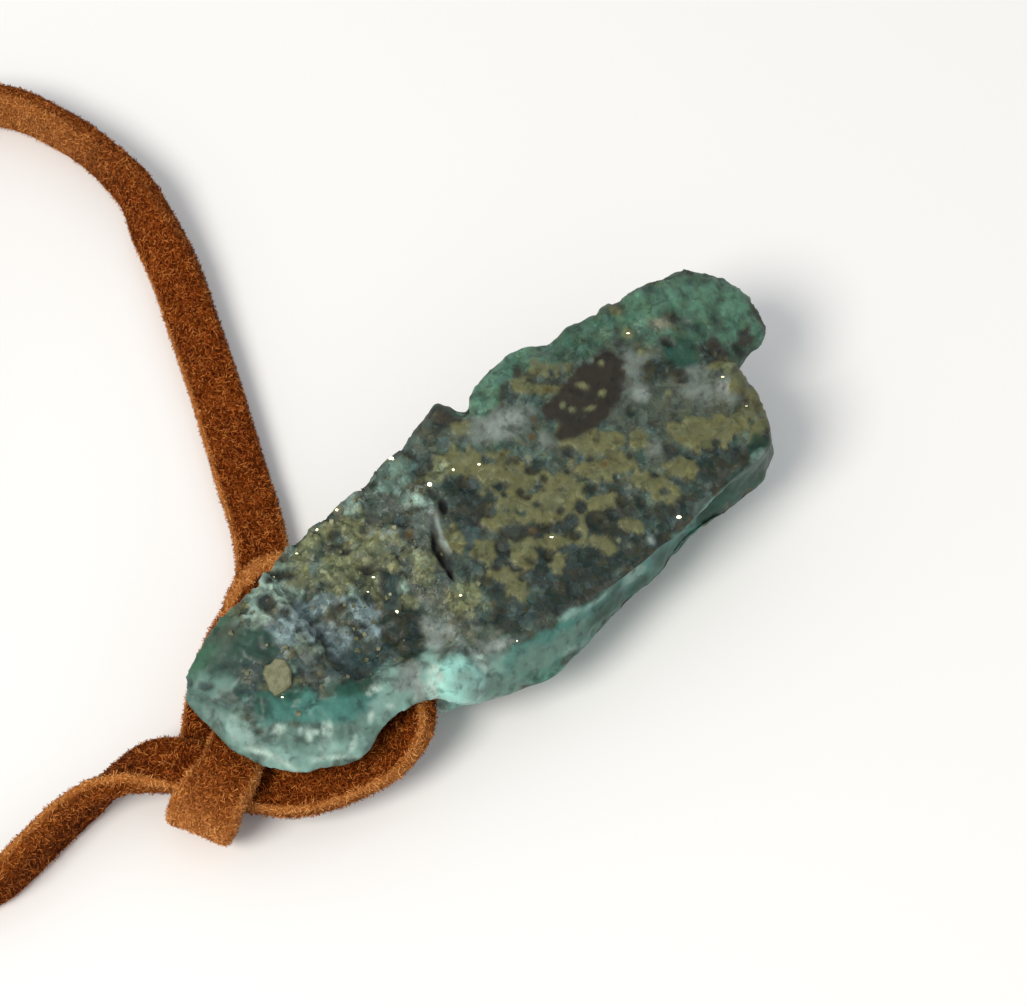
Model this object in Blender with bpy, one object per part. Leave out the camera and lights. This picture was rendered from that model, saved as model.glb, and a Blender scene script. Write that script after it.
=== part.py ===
"""Raw emerald in pyrite-bearing schist, drilled through its narrow end and hung on a flat suede lace.

Frame: +X along the stone towards its broad end, +Z up, origin at the middle of the stone's footprint.
The stone lies on its flat underside at z = 0. The lace passes through the drilled hole, is tied in a
half hitch under the stone's tip, and its two strands are wound together into a flat coil.
"""
import math

import bmesh
import bpy
import numpy as np
from mathutils import Vector, noise

MM = 0.001  # every size below is in millimetres

# Driving dimensions.
HOLE_RADIUS = 1.85
HOLE_X, HOLE_Z = -9.2, 3.7
LACE_WIDTH, LACE_THICKNESS = 3.0, 1.4
LACE_CORNER = 0.3  # bevel of the lace's four long edges
LACE_STEP = 1.3  # length of one link of a lace solid

COIL_CENTRE = (-41.8, 37.7)
COIL_RADIUS = 21.1  # of the outermost turn's line
COIL_PITCH = 1.6  # from one turn to the next
COIL_TURNS = 6.5
COIL_SIDES = 72
COIL_OUTSIDE = COIL_RADIUS + LACE_THICKNESS / 2
COIL_INSIDE = COIL_OUTSIDE - COIL_TURNS * COIL_PITCH
KNOT_PLACE = (-40.6, 36.4)
KNOT_VOXEL = 0.3

BLOCK_VOXEL = 0.32  # grid that fuses the blocks of stone
STONE_TRIANGLES = 8600
FLAT_BELOW = 0.3  # the underside is ground flat up to this height

# The stone is fused from angular blocks. Each is the convex hull of its corners, (x, y, z).
STONE_BLOCKS = {
    "slab": [
        (-6.2, -6.0, 6.3), (-2.2, -6.7, 6.6), (2.1, -7.0, 6.8), (7.2, -6.8, 7.1), (10.3, -6.0, 7.3),
        (14.4, -5.2, 7.5), (15.2, -3.9, 7.6), (15.6, -2.2, 7.7), (14.6, 2.4, 8.3), (13.2, 5.2, 8.4),
        (8.8, 6.0, 8.5), (3.0, 6.1, 8.4), (-1.2, 6.5, 8.0), (-3.2, 6.2, 7.9), (-6.0, 5.5, 7.7),
        (-7.6, -6.9, 4.0), (-2.8, -8.0, 4.0), (2.5, -7.8, 4.0), (6.2, -7.6, 4.0), (10.1, -7.0, 4.1),
        (14.1, -5.9, 4.3), (15.5, -4.9, 4.4), (16.0, -1.2, 4.6), (14.6, 4.8, 4.2), (6.0, 6.0, 4.0),
        (-6.0, 5.4, 4.0),
        (-8.0, -4.4, 0.0), (-3.0, -5.6, 0.0), (4.0, -5.4, 0.0), (10.0, -4.2, 0.0), (12.4, -1.8, 0.0),
        (11.4, 2.6, 0.0), (4.0, 4.2, 0.0), (-4.0, 4.0, 0.0), (-8.5, 2.2, 0.0),
    ],
    "waist": [
        (-12.4, 4.9, 7.1), (-8.0, 5.65, 7.7), (-4.0, 6.05, 7.9), (-4.0, -4.4, 6.5), (-9.0, -4.2, 6.2),
        (-12.4, -3.4, 6.1), (-11.9, 3.8, 4.0), (-11.9, -3.6, 3.6), (-11.8, 2.6, 1.0), (-11.8, -2.8, 1.0),
        (-7.0, 4.2, 1.2), (-7.0, -4.6, 1.2), (-9.0, -4.9, 4.2), (-5.0, -5.4, 4.2), (-5.0, 4.9, 4.0),
    ],
    "tip": [
        (-19.8, 1.6, 6.1), (-19.3, 2.6, 6.3), (-18.1, 3.2, 6.7), (-16.2, 3.8, 7.3), (-12.4, 4.5, 7.8),
        (-20.0, 0.2, 6.0), (-19.6, -1.3, 5.9), (-15.9, 1.6, 8.0), (-12.3, 1.2, 8.1), (-12.3, -3.0, 7.5),
        (-16.5, -2.0, 7.4), (-18.6, 1.0, 5.1), (-17.7, 2.2, 5.2), (-15.1, 3.2, 5.2), (-12.3, 3.8, 5.1),
        (-18.1, -1.0, 5.1), (-12.3, -3.0, 4.9),
    ],
    "lobe": [
        (-19.75, -0.9, 5.9), (-19.3, -2.3, 5.8), (-18.5, -3.8, 5.8), (-17.8, -4.7, 5.7), (-16.9, -5.5, 5.6),
        (-15.3, -5.9, 5.5), (-14.2, -6.4, 5.4), (-12.9, -6.2, 5.3), (-11.9, -5.8, 5.3), (-11.2, -5.5, 5.4),
        (-10.1, -5.3, 5.6), (-16.9, -2.0, 7.3), (-12.7, -3.0, 7.3), (-9.9, -3.6, 7.3), (-18.1, -2.2, 5.0),
        (-16.7, -4.7, 4.7), (-14.1, -5.6, 4.5), (-11.9, -5.0, 4.5), (-10.5, -4.4, 4.5),
    ],
    "knob": [
        (-8.8, -6.2, 5.3), (-8.6, -6.8, 5.2), (-7.9, -7.15, 5.1), (-7.1, -7.2, 5.1), (-6.2, -7.0, 5.2),
        (-8.7, -5.5, 6.2), (-8.3, -6.2, 6.2), (-7.4, -6.5, 6.3), (-6.3, -6.3, 6.4), (-5.6, -5.6, 6.5),
        (-6.4, -4.8, 6.9), (-7.7, -4.8, 6.8), (-8.2, -6.2, 4.3), (-7.2, -6.9, 4.2), (-6.1, -6.7, 4.2),
        (-8.2, -5.4, 3.6), (-6.6, -6.4, 3.3), (-5.2, -5.8, 3.4), (-6.6, -4.6, 3.4),
    ],
    "head": [
        (10.6, 6.4, 8.6), (13.9, 6.5, 8.5), (16.1, 6.4, 8.3), (18.0, 5.7, 7.9), (19.0, 4.4, 7.7),
        (19.5, 3.0, 7.4), (19.6, 1.7, 7.0), (19.3, 0.7, 6.7), (18.2, 0.2, 6.5), (16.8, 0.5, 7.0),
        (14.2, 1.8, 8.3), (12.0, 3.3, 8.5), (18.2, 3.4, 4.2), (17.8, 1.2, 4.4), (15.6, 5.4, 3.6),
        (12.0, 5.8, 3.6), (13.6, 1.8, 3.0), (16.0, 1.2, 3.6),
    ],
    "crest": [
        (2.2, 6.4, 8.6), (3.4, 6.95, 8.4), (4.6, 7.35, 8.5), (5.8, 7.45, 8.5), (6.8, 7.3, 8.5),
        (8.2, 7.0, 8.6), (9.2, 6.6, 8.6), (11.0, 6.6, 8.6), (9.4, 4.6, 8.8), (4.8, 4.4, 8.8), (1.4, 4.6, 8.6),
        (1.8, 5.8, 6.2), (9.4, 6.2, 5.8), (5.0, 6.2, 5.8), (5.0, 4.4, 6.4),
    ],
    "shoulder": [
        (0.1, 6.9, 8.2), (0.4, 7.2, 8.0), (1.3, 7.0, 8.0), (2.0, 6.6, 8.2), (1.4, 4.8, 8.5), (-1.2, 5.2, 8.2),
        (-1.3, 6.7, 7.9), (0.2, 6.8, 6.2), (1.4, 6.6, 6.2), (-1.2, 6.3, 6.2), (0.0, 4.6, 6.4),
    ],
    "brow over the hole": [
        (-12.0, -6.0, 5.9), (-11.2, -5.9, 6.0), (-10.5, -5.8, 6.0), (-9.8, -5.9, 6.0), (-9.2, -6.2, 5.9),
        (-8.4, -6.4, 5.6), (-11.5, -3.5, 7.1), (-9.0, -3.4, 6.9), (-7.5, -4.5, 6.6), (-12.0, -5.6, 5.55),
        (-10.4, -5.5, 5.6), (-8.7, -5.9, 5.55), (-11.5, -3.6, 5.6), (-8.0, -4.0, 5.6),
    ],
}

# Places where the surface is raised or hollowed: (x, y, z, radius, height along the surface).
STONE_DENTS = {
    "crack behind the granular end": [(-6.6, -1.4, 6.9, 0.9, -0.55), (-6.9, -2.9, 6.6, 0.9, -0.5)],
    "ledge beside the crack": [(-5.2, -1.0, 7.2, 1.2, 0.3)],
    "hollow above the lobe": [(-9.6, -2.0, 6.6, 1.9, -0.4)],
    "saddle between lobe and tip": [(-16.6, -0.6, 6.5, 1.5, -0.25)],
    "notch under the head": [(16.2, -0.2, 7.4, 1.1, -0.7)],
    "pit in the quartz": [(9.2, 1.9, 8.6, 0.6, -0.5)],
    "step beside the crest": [(-2.0, 5.0, 8.2, 1.0, -0.2)],
}

# Routes of the two strands: (x, y, z, heading of the lace's width, rise of its width), in degrees.
UPPER_ROUTE = [
    (HOLE_X, 0.15, HOLE_Z, 180, 90), (HOLE_X, 2.6, HOLE_Z, 180, 90), (-9.35, 4.2, 3.65, 150, 88),
    (-10.0, 5.5, 3.5, 120, 84), (-11.3, 6.1, 3.2, 100, 72), (-12.8, 5.5, 3.0, 110, 44),
    (-14.2, 4.0, 2.95, 128, 16), (-15.4, 2.4, 2.95, 136, 2), (-16.6, 0.7, 3.15, 138, 0),
    (-17.8, -0.8, 3.7, 132, 0), (-18.7, -1.8, 4.1, 124, 0), (-19.9, -2.65, 4.2, 120, 0),
    (-20.85, -3.0, 4.1, 118, 0), (-21.6, -3.2, 3.4, 118, 0), (-21.95, -3.15, 2.35, 118, 0),
    (-21.75, -2.6, 1.15, 122, 0), (-21.0, -1.55, 0.72, 132, 0), (-19.9, -0.2, 0.75, 140, 0),
    (-17.6, 2.6, 0.75, 140, 0), (-14.8, 5.0, 0.75, 128, 0), (-12.8, 6.1, 0.75, 124, 0),
    (-10.9, 7.6, 0.75, 134, 0), (-9.5, 9.9, 0.75, 148, 0), (-8.3, 13.2, 0.8, 158, 0),
    (-7.5, 15.4, 0.85, 160, -2), (-6.1, 19.3, 0.95, 162, -6), (-4.8, 23.3, 1.1, 163, -12),
    (-3.5, 27.4, 1.3, 166, -26), (-2.8, 30.8, 1.5, 172, -50), (-2.3, 33.3, 1.6, 178, -70),
    (-2.4, 35.6, 1.6, 185, -80), (-2.8, 38.1, 1.6, 195, -86), (-3.5, 40.3, 1.55, 205, -88),
    (-4.3, 42.2, 1.55, 215, -88), (-5.4, 43.7, 1.55, 225, -88), (-7.6, 45.4, 1.55, 240, -88),
    (-10.6, 45.8, 1.55, 270, -88), (-13.4, 43.4, 1.55, 300, -88), (-15.6, 39.4, 1.55, 310, -88),
    (-18.9, 34.5, 1.55, 310, -88),
]
LOWER_ROUTE = [
    (HOLE_X, -0.15, HOLE_Z, 0, 90), (HOLE_X, -3.0, HOLE_Z, 0, 90), (-9.25, -4.4, 3.6, 330, 76),
    (-9.75, -5.15, 3.5, 316, 52), (-10.45, -5.65, 3.35, 302, 32), (-11.4, -5.95, 3.15, 288, 16),
    (-12.5, -6.05, 2.95, 275, 6), (-13.9, -5.85, 2.8, 263, 2), (-15.6, -5.4, 2.65, 250, 0),
    (-17.1, -4.65, 2.5, 238, 0), (-18.5, -3.3, 2.45, 228, 0), (-19.9, -1.5, 2.48, 220, 0),
    (-20.9, -0.3, 2.48, 222, 0), (-21.7, 0.6, 2.42, 230, 6), (-22.5, 1.15, 2.2, 245, 22),
    (-23.9, 1.6, 1.9, 262, 52), (-25.9, 1.7, 1.6, 272, 84), (-27.9, 1.5, 1.55, 278, 92),
    (-30.1, 1.0, 1.55, 276, 92), (-32.2, 0.6, 1.55, 272, 90), (-35.0, 1.2, 1.55, 262, 88),
    (-37.6, 3.0, 1.55, 240, 88), (-39.8, 6.0, 1.55, 215, 88), (-41.9, 9.4, 1.55, 215, 88),
    (-44.4, 12.4, 1.55, 220, 88), (-47.4, 15.1, 1.55, 225, 88),
]

# The knot that ties the two ends together: wraps of lace round two tails, in the knot's own frame.
KNOT_WRAP_RADIUS = 2.0
KNOT_HEIGHT = 2.7  # of the wraps' middle
KNOT_LEAN = 0.3  # how far a wrap leans along the knot
KNOT_STEP = 0.8
KNOT_THINNING = 0.2  # share of the fused knot's triangles that is kept
KNOT_WRAPS = [-1.7, 1.7]  # where each wrap stands along the knot
KNOT_TAILS = [
    [(-1.6, 0.4, 1.6), (1.5, 0.9, 1.6), (4.2, 1.6, 1.56), (7.6, 4.2, 1.56)],
    [(-1.6, -0.4, 1.8), (1.5, -0.9, 1.8), (4.4, -2.2, 1.56), (6.6, -5.2, 1.56)],
    [(1.6, 0.4, 1.7), (-1.6, 0.9, 1.7), (-4.4, 2.6, 1.56), (-6.4, 5.4, 1.56)],
    [(1.6, -0.4, 1.7), (-1.6, -0.9, 1.7), (-4.4, -2.4, 1.56), (-6.4, -4.8, 1.56)],
]

SUEDE = (0.30, 0.13, 0.045)
EMERALD = (0.10, 0.26, 0.23)


def clear_scene():
    for obj in list(bpy.data.objects):
        bpy.data.objects.remove(obj, do_unlink=True)


def make_material(name, colour, roughness, metallic=0.0):
    material = bpy.data.materials.new(name)
    material.use_nodes = True
    shader = material.node_tree.nodes["Principled BSDF"]
    shader.inputs["Base Color"].default_value = (*colour, 1.0)
    shader.inputs["Roughness"].default_value = roughness
    shader.inputs["Metallic"].default_value = metallic
    material.diffuse_color = (*colour, 1.0)
    return material


def add_object(name, mesh, material=None):
    obj = bpy.data.objects.new(name, mesh)
    bpy.context.scene.collection.objects.link(obj)
    if material:
        mesh.materials.append(material)
    return obj


def evaluated_copy(obj):
    """The object's mesh with its modifiers applied."""
    bpy.context.view_layer.update()
    return bpy.data.meshes.new_from_object(obj.evaluated_get(bpy.context.evaluated_depsgraph_get()))


# The stone.

def hull_of(corners):
    bm = bmesh.new()
    for corner in corners:
        bm.verts.new(Vector(corner) * MM)
    found = bmesh.ops.convex_hull(bm, input=bm.verts)
    spare = set(found["geom_interior"] + found["geom_unused"])
    bmesh.ops.delete(bm, geom=[v for v in spare if isinstance(v, bmesh.types.BMVert)], context="VERTS")
    bmesh.ops.recalc_face_normals(bm, faces=bm.faces)
    mesh = bpy.data.meshes.new("block")
    bm.to_mesh(mesh)
    bm.free()
    return mesh


def fused_blocks():
    """One closed mesh of all the blocks, with small facets of even size."""
    joined = bmesh.new()
    for corners in STONE_BLOCKS.values():
        block = hull_of(corners)
        joined.from_mesh(block)
        bpy.data.meshes.remove(block)
    mesh = bpy.data.meshes.new("fused")
    joined.to_mesh(mesh)
    joined.free()
    helper = add_object("fusing", mesh)
    remesh = helper.modifiers.new("fuse", "REMESH")
    remesh.mode = "VOXEL"
    remesh.voxel_size = BLOCK_VOXEL * MM
    fused = evaluated_copy(helper)
    bpy.data.objects.remove(helper)
    return fused


def weathering(place):
    """How far the broken surface stands out at a place, in millimetres."""
    x, y, z = place
    swell = noise.fractal(Vector((x, y, z)) / 5.5 + Vector((3.1, 7.7, 1.3)), 1.0, 2.0, 3)
    distances, _ = noise.voronoi(Vector((x, y, z)) / 1.9)
    grain = distances[1] - distances[0]  # 0 in the joints between grains, large in their middles
    granular = 1.0 - smooth_step(-5.5, -2.5, x)
    granular *= smooth_step(-17.0, -14.0, x) * smooth_step(-4.5, -2.0, y)
    head = smooth_step(10.0, 13.0, x) * smooth_step(0.5, 2.5, y)
    top_face = smooth_step(6.0, 6.6, z) * smooth_step(-4.0, -2.0, x) * (1.0 - head)
    out = 0.30 * swell * (1.0 - 0.65 * top_face)
    out += (0.28 * granular + 0.24 * head + 0.07) * (grain - 0.35)
    return out


def smooth_step(low, high, value):
    t = min(1.0, max(0.0, (value - low) / (high - low)))
    return t * t * (3.0 - 2.0 * t)


def dent_at(place):
    out = 0.0
    for spots in STONE_DENTS.values():
        for x, y, z, radius, height in spots:
            away = (place - Vector((x, y, z))).length / radius
            out += height * math.exp(-away * away)
    return out


def weather(mesh):
    """Moves each point along its normal, then grinds the underside flat."""
    normals = [Vector(n.vector) for n in mesh.vertex_normals]
    for vertex, normal in zip(mesh.vertices, normals):
        place = vertex.co / MM
        calm = smooth_step(0.2, 1.6, place.z)  # the resting face stays flat
        vertex.co += normal * (calm * (weathering(place) + dent_at(place)) * MM)
    mesh.update()


def points_of(mesh):
    points = np.empty(len(mesh.vertices) * 3)
    mesh.vertices.foreach_get("co", points)
    return points.reshape(-1, 3)


def grind(mesh):
    """Flattens the underside at z = 0."""
    points = points_of(mesh)
    points[points[:, 2] < FLAT_BELOW * MM, 2] = 0.0
    mesh.vertices.foreach_set("co", points.ravel())
    mesh.update()


def centre_on(stone):
    """Moves everything together, so that the middle of the stone's footprint is the origin."""
    points = points_of(stone.data)
    middle = (points[:, :2].min(axis=0) + points[:, :2].max(axis=0)) / 2
    for obj in bpy.data.objects:
        obj.location.x -= middle[0]
        obj.location.y -= middle[1]


def make_hole_cutter():
    bm = bmesh.new()
    bmesh.ops.create_cone(
        bm, cap_ends=True, segments=20, radius1=HOLE_RADIUS * MM, radius2=HOLE_RADIUS * MM, depth=30 * MM
    )
    mesh = bpy.data.meshes.new("hole_cutter")
    bm.to_mesh(mesh)
    bm.free()
    cutter = add_object("hole_cutter", mesh)
    cutter.location = (HOLE_X * MM, 0.0, HOLE_Z * MM)
    cutter.rotation_euler = (math.radians(90), 0.0, 0.0)
    cutter.hide_render = True
    cutter.display_type = "WIRE"
    return cutter


def make_stone():
    rough = fused_blocks()
    weather(rough)
    helper = add_object("thinning", rough)
    thin = helper.modifiers.new("thin", "DECIMATE")
    thin.ratio = min(1.0, STONE_TRIANGLES / (2 * len(rough.polygons)))
    thin.use_collapse_triangulate = True
    mesh = evaluated_copy(helper)
    bpy.data.objects.remove(helper)
    grind(mesh)
    mesh.name = "emerald_stone"
    stone = add_object("emerald_stone", mesh, make_material("raw emerald", EMERALD, 0.45))
    drill = stone.modifiers.new("lace hole", "BOOLEAN")
    drill.operation = "DIFFERENCE"
    drill.solver = "EXACT"
    drill.object = make_hole_cutter()
    return stone


# The lace.

def width_direction(heading, rise):
    flat = math.cos(math.radians(rise))
    turn = math.radians(heading)
    return (flat * math.cos(turn), flat * math.sin(turn), math.sin(math.radians(rise)))


def smooth_curve(stations, step):
    """Rows of values at even steps on a smooth curve through the stations; the first three are x, y, z."""
    rows = np.array(stations, float)
    knots = np.concatenate([[0.0], np.cumsum(np.linalg.norm(np.diff(rows[:, :3], axis=0), axis=1))])
    slopes = np.gradient(rows, knots, axis=0)
    at = np.linspace(0.0, knots[-1], 40 * len(rows))
    left = np.clip(np.searchsorted(knots, at, side="right") - 1, 0, len(knots) - 2)
    span = (knots[left + 1] - knots[left])[:, None]
    t = (at - knots[left])[:, None] / span
    fine = (
        (2 * t**3 - 3 * t**2 + 1) * rows[left]
        + (t**3 - 2 * t**2 + t) * span * slopes[left]
        + (3 * t**2 - 2 * t**3) * rows[left + 1]
        + (t**3 - t**2) * span * slopes[left + 1]
    )
    along = np.concatenate([[0.0], np.cumsum(np.linalg.norm(np.diff(fine[:, :3], axis=0), axis=1))])
    even = np.linspace(0.0, along[-1], max(2, round(along[-1] / step) + 1))
    return np.stack([np.interp(even, along, fine[:, k]) for k in range(rows.shape[1])], axis=1)


def unit(rows):
    return rows / np.maximum(np.linalg.norm(rows, axis=1, keepdims=True), 1e-9)


def lace_profile():
    """The lace's section, (across, through), anticlockwise."""
    w, t, c = LACE_WIDTH / 2, LACE_THICKNESS / 2, LACE_CORNER
    return [
        (w, -t + c), (w, t - c), (w - c, t), (-w + c, t),
        (-w, t - c), (-w, -t + c), (-w + c, -t), (w - c, -t),
    ]


def sweep(name, rows, profile, material):
    """A closed solid that carries the profile along the rows, which hold x, y, z and the width direction."""
    centres = rows[:, :3]
    forward = unit(np.gradient(centres, axis=0))
    across = rows[:, 3:6] - (rows[:, 3:6] * forward).sum(axis=1, keepdims=True) * forward
    across = unit(across)
    through = np.cross(forward, across)
    bm = bmesh.new()
    rings = []
    for centre, a, b in zip(centres, across, through):
        rings.append([bm.verts.new((centre + p * a + q * b) * MM) for p, q in profile])
    count = len(profile)
    for before, after in zip(rings, rings[1:]):
        for i in range(count):
            j = (i + 1) % count
            bm.faces.new((before[i], before[j], after[j], after[i]))
    bm.faces.new(rings[0][::-1])
    bm.faces.new(rings[-1])
    bmesh.ops.recalc_face_normals(bm, faces=bm.faces)
    mesh = bpy.data.meshes.new(name)
    bm.to_mesh(mesh)
    bm.free()
    mesh.shade_smooth()
    mesh.set_sharp_from_angle(angle=math.radians(40))
    return add_object(name, mesh, material)


def make_strand(name, route, material):
    stations = [(x, y, z, *width_direction(heading, rise)) for x, y, z, heading, rise in route]
    rows = smooth_curve(stations, LACE_STEP)
    rise = np.abs(unit(rows[:, 3:6])[:, 2])
    reach = LACE_WIDTH / 2 * rise + LACE_THICKNESS / 2 * np.sqrt(1.0 - rise**2)
    rows[:, 2] = np.maximum(rows[:, 2], reach)  # nowhere below the surface it lies on
    return sweep(name, rows, lace_profile(), material)


def make_coil(material):
    """The turned outer shape of the wound lace, which stands on its edge."""
    bm = bmesh.new()
    corner = LACE_CORNER
    low, high = 0.0, LACE_WIDTH
    section = [
        (COIL_INSIDE, low), (COIL_OUTSIDE, low), (COIL_OUTSIDE, high - corner),
        (COIL_OUTSIDE - corner, high), (COIL_INSIDE + corner, high), (COIL_INSIDE, high - corner),
    ]
    points = [bm.verts.new(Vector((r, 0.0, z)) * MM) for r, z in section]
    edges = [bm.edges.new((a, b)) for a, b in zip(points, points[1:] + points[:1])]
    bmesh.ops.spin(
        bm, geom=points + edges, axis=(0, 0, 1), cent=(0, 0, 0), angle=math.tau, steps=COIL_SIDES,
        use_merge=True,
    )
    bmesh.ops.remove_doubles(bm, verts=bm.verts, dist=0.01 * MM)
    bmesh.ops.recalc_face_normals(bm, faces=bm.faces)
    mesh = bpy.data.meshes.new("lace_coil")
    bm.to_mesh(mesh)
    bm.free()
    mesh.shade_smooth()
    mesh.set_sharp_from_angle(angle=math.radians(40))
    coil = add_object("lace_coil", mesh, material)
    coil.location = (COIL_CENTRE[0] * MM, COIL_CENTRE[1] * MM, 0.0)
    return coil


def knot_pieces():
    """Meshes of the knot's wraps and tails before they are fused."""
    x0, y0 = KNOT_PLACE
    pieces = []
    for along in KNOT_WRAPS:
        turns = np.linspace(0.0, math.tau, 25)
        ring = np.zeros((len(turns), 6))
        ring[:, 0] = along + KNOT_LEAN * np.sin(turns)
        ring[:, 1] = KNOT_WRAP_RADIUS * np.cos(turns)
        ring[:, 2] = KNOT_HEIGHT + KNOT_WRAP_RADIUS * np.sin(turns)
        ring[:, 3] = 1.0
        pieces.append(ring)
    for tail in KNOT_TAILS:
        pieces.append(smooth_curve([(*place, 0.0, 0.0, 1.0) for place in tail], KNOT_STEP))
    for rows in pieces:
        rows[:, 0] += x0
        rows[:, 1] += y0
    return pieces


def make_end_knot(material):
    joined = bmesh.new()
    for rows in knot_pieces():
        piece = sweep("knot_piece", rows, lace_profile(), None)
        joined.from_mesh(piece.data)
        bpy.data.objects.remove(piece)
    mesh = bpy.data.meshes.new("knot_pieces")
    joined.to_mesh(mesh)
    joined.free()
    helper = add_object("tying", mesh)
    remesh = helper.modifiers.new("fuse", "REMESH")
    remesh.mode = "VOXEL"
    remesh.voxel_size = KNOT_VOXEL * MM
    soften = helper.modifiers.new("soften", "SMOOTH")
    soften.iterations = 2
    thin = helper.modifiers.new("thin", "DECIMATE")
    thin.ratio = KNOT_THINNING
    fused = evaluated_copy(helper)
    bpy.data.objects.remove(helper)
    fused.name = "lace_end_knot"
    return add_object("lace_end_knot", fused, material)


def main():
    clear_scene()
    suede = make_material("suede lace", SUEDE, 0.95)
    stone = make_stone()
    make_strand("lace_upper_strand", UPPER_ROUTE, suede)
    make_strand("lace_lower_strand", LOWER_ROUTE, suede)
    make_coil(suede)
    make_end_knot(suede)
    centre_on(stone)


main()
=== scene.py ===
import math

import bmesh
import bpy
import numpy as np
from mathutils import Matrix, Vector, noise
from mathutils.bvhtree import BVHTree


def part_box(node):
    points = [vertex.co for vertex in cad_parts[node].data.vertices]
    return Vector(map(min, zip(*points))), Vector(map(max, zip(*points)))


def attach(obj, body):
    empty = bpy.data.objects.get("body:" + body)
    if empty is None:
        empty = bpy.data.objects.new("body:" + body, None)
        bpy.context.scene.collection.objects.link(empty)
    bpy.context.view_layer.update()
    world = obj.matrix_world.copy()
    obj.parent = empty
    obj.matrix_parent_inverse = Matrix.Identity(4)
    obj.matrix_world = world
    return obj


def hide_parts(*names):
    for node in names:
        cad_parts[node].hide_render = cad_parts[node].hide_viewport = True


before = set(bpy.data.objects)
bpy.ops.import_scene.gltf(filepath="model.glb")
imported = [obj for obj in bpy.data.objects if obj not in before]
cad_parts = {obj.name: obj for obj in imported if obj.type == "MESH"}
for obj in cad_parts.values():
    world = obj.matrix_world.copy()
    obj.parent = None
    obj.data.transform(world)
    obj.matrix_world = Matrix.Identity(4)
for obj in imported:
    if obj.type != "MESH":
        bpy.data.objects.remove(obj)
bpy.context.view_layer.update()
mm = 0.001
print("raw emerald pendant: the solid model is loaded")

coilLow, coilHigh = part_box("lace_coil")
drawnCoil = Vector((-41.8, 37.7, 0.0))  # the coil's centre as it was drawn, in mm
shift = (coilLow + coilHigh) / 2 / mm - drawnCoil  # from the drawing to the frame, in mm
shift.z = 0.0

viewTurn = -36.9  # the camera's way round the stone, in degrees


def toFrame(x, y, z):
    return (Vector((x, y, z)) + shift) * mm


# small helpers

def linear(hexColour):
    parts = [int(hexColour[i:i + 2], 16) / 255 for i in (1, 3, 5)]
    return (*[p / 12.92 if p <= 0.04045 else ((p + 0.055) / 1.055) ** 2.4 for p in parts], 1.0)


def addNode(tree, kind, inputs=None, **settings):
    node = tree.nodes.new(kind)
    for name, value in settings.items():
        setattr(node, name, value)
    for key, value in (inputs or {}).items():
        socket = node.inputs[key]
        if isinstance(value, bpy.types.NodeSocket):
            tree.links.new(value, socket)
        elif isinstance(value, str) and value.startswith("#"):
            socket.default_value = linear(value)
        else:
            socket.default_value = value
    return node


def newMaterial(name, look):
    material = bpy.data.materials.new(name)
    material.use_nodes = True
    tree = material.node_tree
    tree.nodes.clear()
    shader = addNode(tree, "ShaderNodeBsdfPrincipled", look)
    addNode(tree, "ShaderNodeOutputMaterial", {0: shader.outputs[0]})
    return material, tree, shader


def placeInMm(tree):
    place = addNode(tree, "ShaderNodeTexCoord").outputs["Object"]
    inMm = addNode(tree, "ShaderNodeVectorMath", {0: place, "Scale": 1.0 / mm}, operation="SCALE")
    return inMm.outputs[0]


def addObject(name, mesh, material=None):
    obj = bpy.data.objects.new(name, mesh)
    bpy.context.scene.collection.objects.link(obj)
    if material:
        mesh.materials.clear()
        mesh.materials.append(material)
    return obj


def meshFrom(bm, name):
    mesh = bpy.data.meshes.new(name)
    bm.to_mesh(mesh)
    bm.free()
    return mesh


def joinRings(bm, rings):
    # a closed skin over rings that have the same number of points
    for before, after in zip(rings, rings[1:]):
        for i in range(len(before)):
            j = (i + 1) % len(before)
            bm.faces.new((before[i], before[j], after[j], after[i]))
    bm.faces.new(rings[0][::-1])
    bm.faces.new(rings[-1])


def bakeModifiers(obj):
    bpy.context.view_layer.update()
    made = bpy.data.meshes.new_from_object(obj.evaluated_get(bpy.context.evaluated_depsgraph_get()))
    obj.modifiers.clear()
    return made


def smoothStep(low, high, value):
    t = np.clip((value - low) / (high - low), 0.0, 1.0)
    return t * t * (3.0 - 2.0 * t)


def pointsOf(mesh):
    points = np.empty(len(mesh.vertices) * 3)
    mesh.vertices.foreach_get("co", points)
    return points.reshape(-1, 3)


def normalsOf(mesh):
    normals = np.empty(len(mesh.vertices) * 3, np.float32)
    mesh.vertex_normals.foreach_get("vector", normals)
    return normals.reshape(-1, 3).astype(float)


def setAttribute(mesh, name, values):
    layer = mesh.attributes.new(name, "FLOAT", "POINT")
    layer.data.foreach_set("value", np.asarray(values, np.float32))


# camera, light and floor

studio = {
    "aim": (2.05, 1.65, 4.0),  # what the lens looks at, mm
    "distance": 164.6,  # mm
    "elevation": 60.0,
    "lens": 105.0,
    "keyPower": 1.45,
    "keySize": 0.20,
    "skyStrength": 0.68,
    "floorGap": 0.05,  # from the resting face down to the floor, mm
}


def addCamera():
    data = bpy.data.cameras.new("camera")
    data.lens = studio["lens"]
    data.sensor_width = 36.0
    data.clip_start = 0.005
    camera = bpy.data.objects.new("camera", data)
    bpy.context.scene.collection.objects.link(camera)
    turn, rise = math.radians(viewTurn), math.radians(studio["elevation"])
    back = Vector((math.sin(turn) * math.cos(rise), -math.cos(turn) * math.cos(rise), math.sin(rise)))
    camera.location = toFrame(*studio["aim"]) + back * studio["distance"] * mm
    camera.rotation_euler = back.to_track_quat("Z", "Y").to_euler()
    bpy.context.scene.camera = camera


def viewDirections():
    turn = math.radians(viewTurn)
    return Vector((math.cos(turn), math.sin(turn), 0.0)), Vector((-math.sin(turn), math.cos(turn), 0.0))


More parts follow.
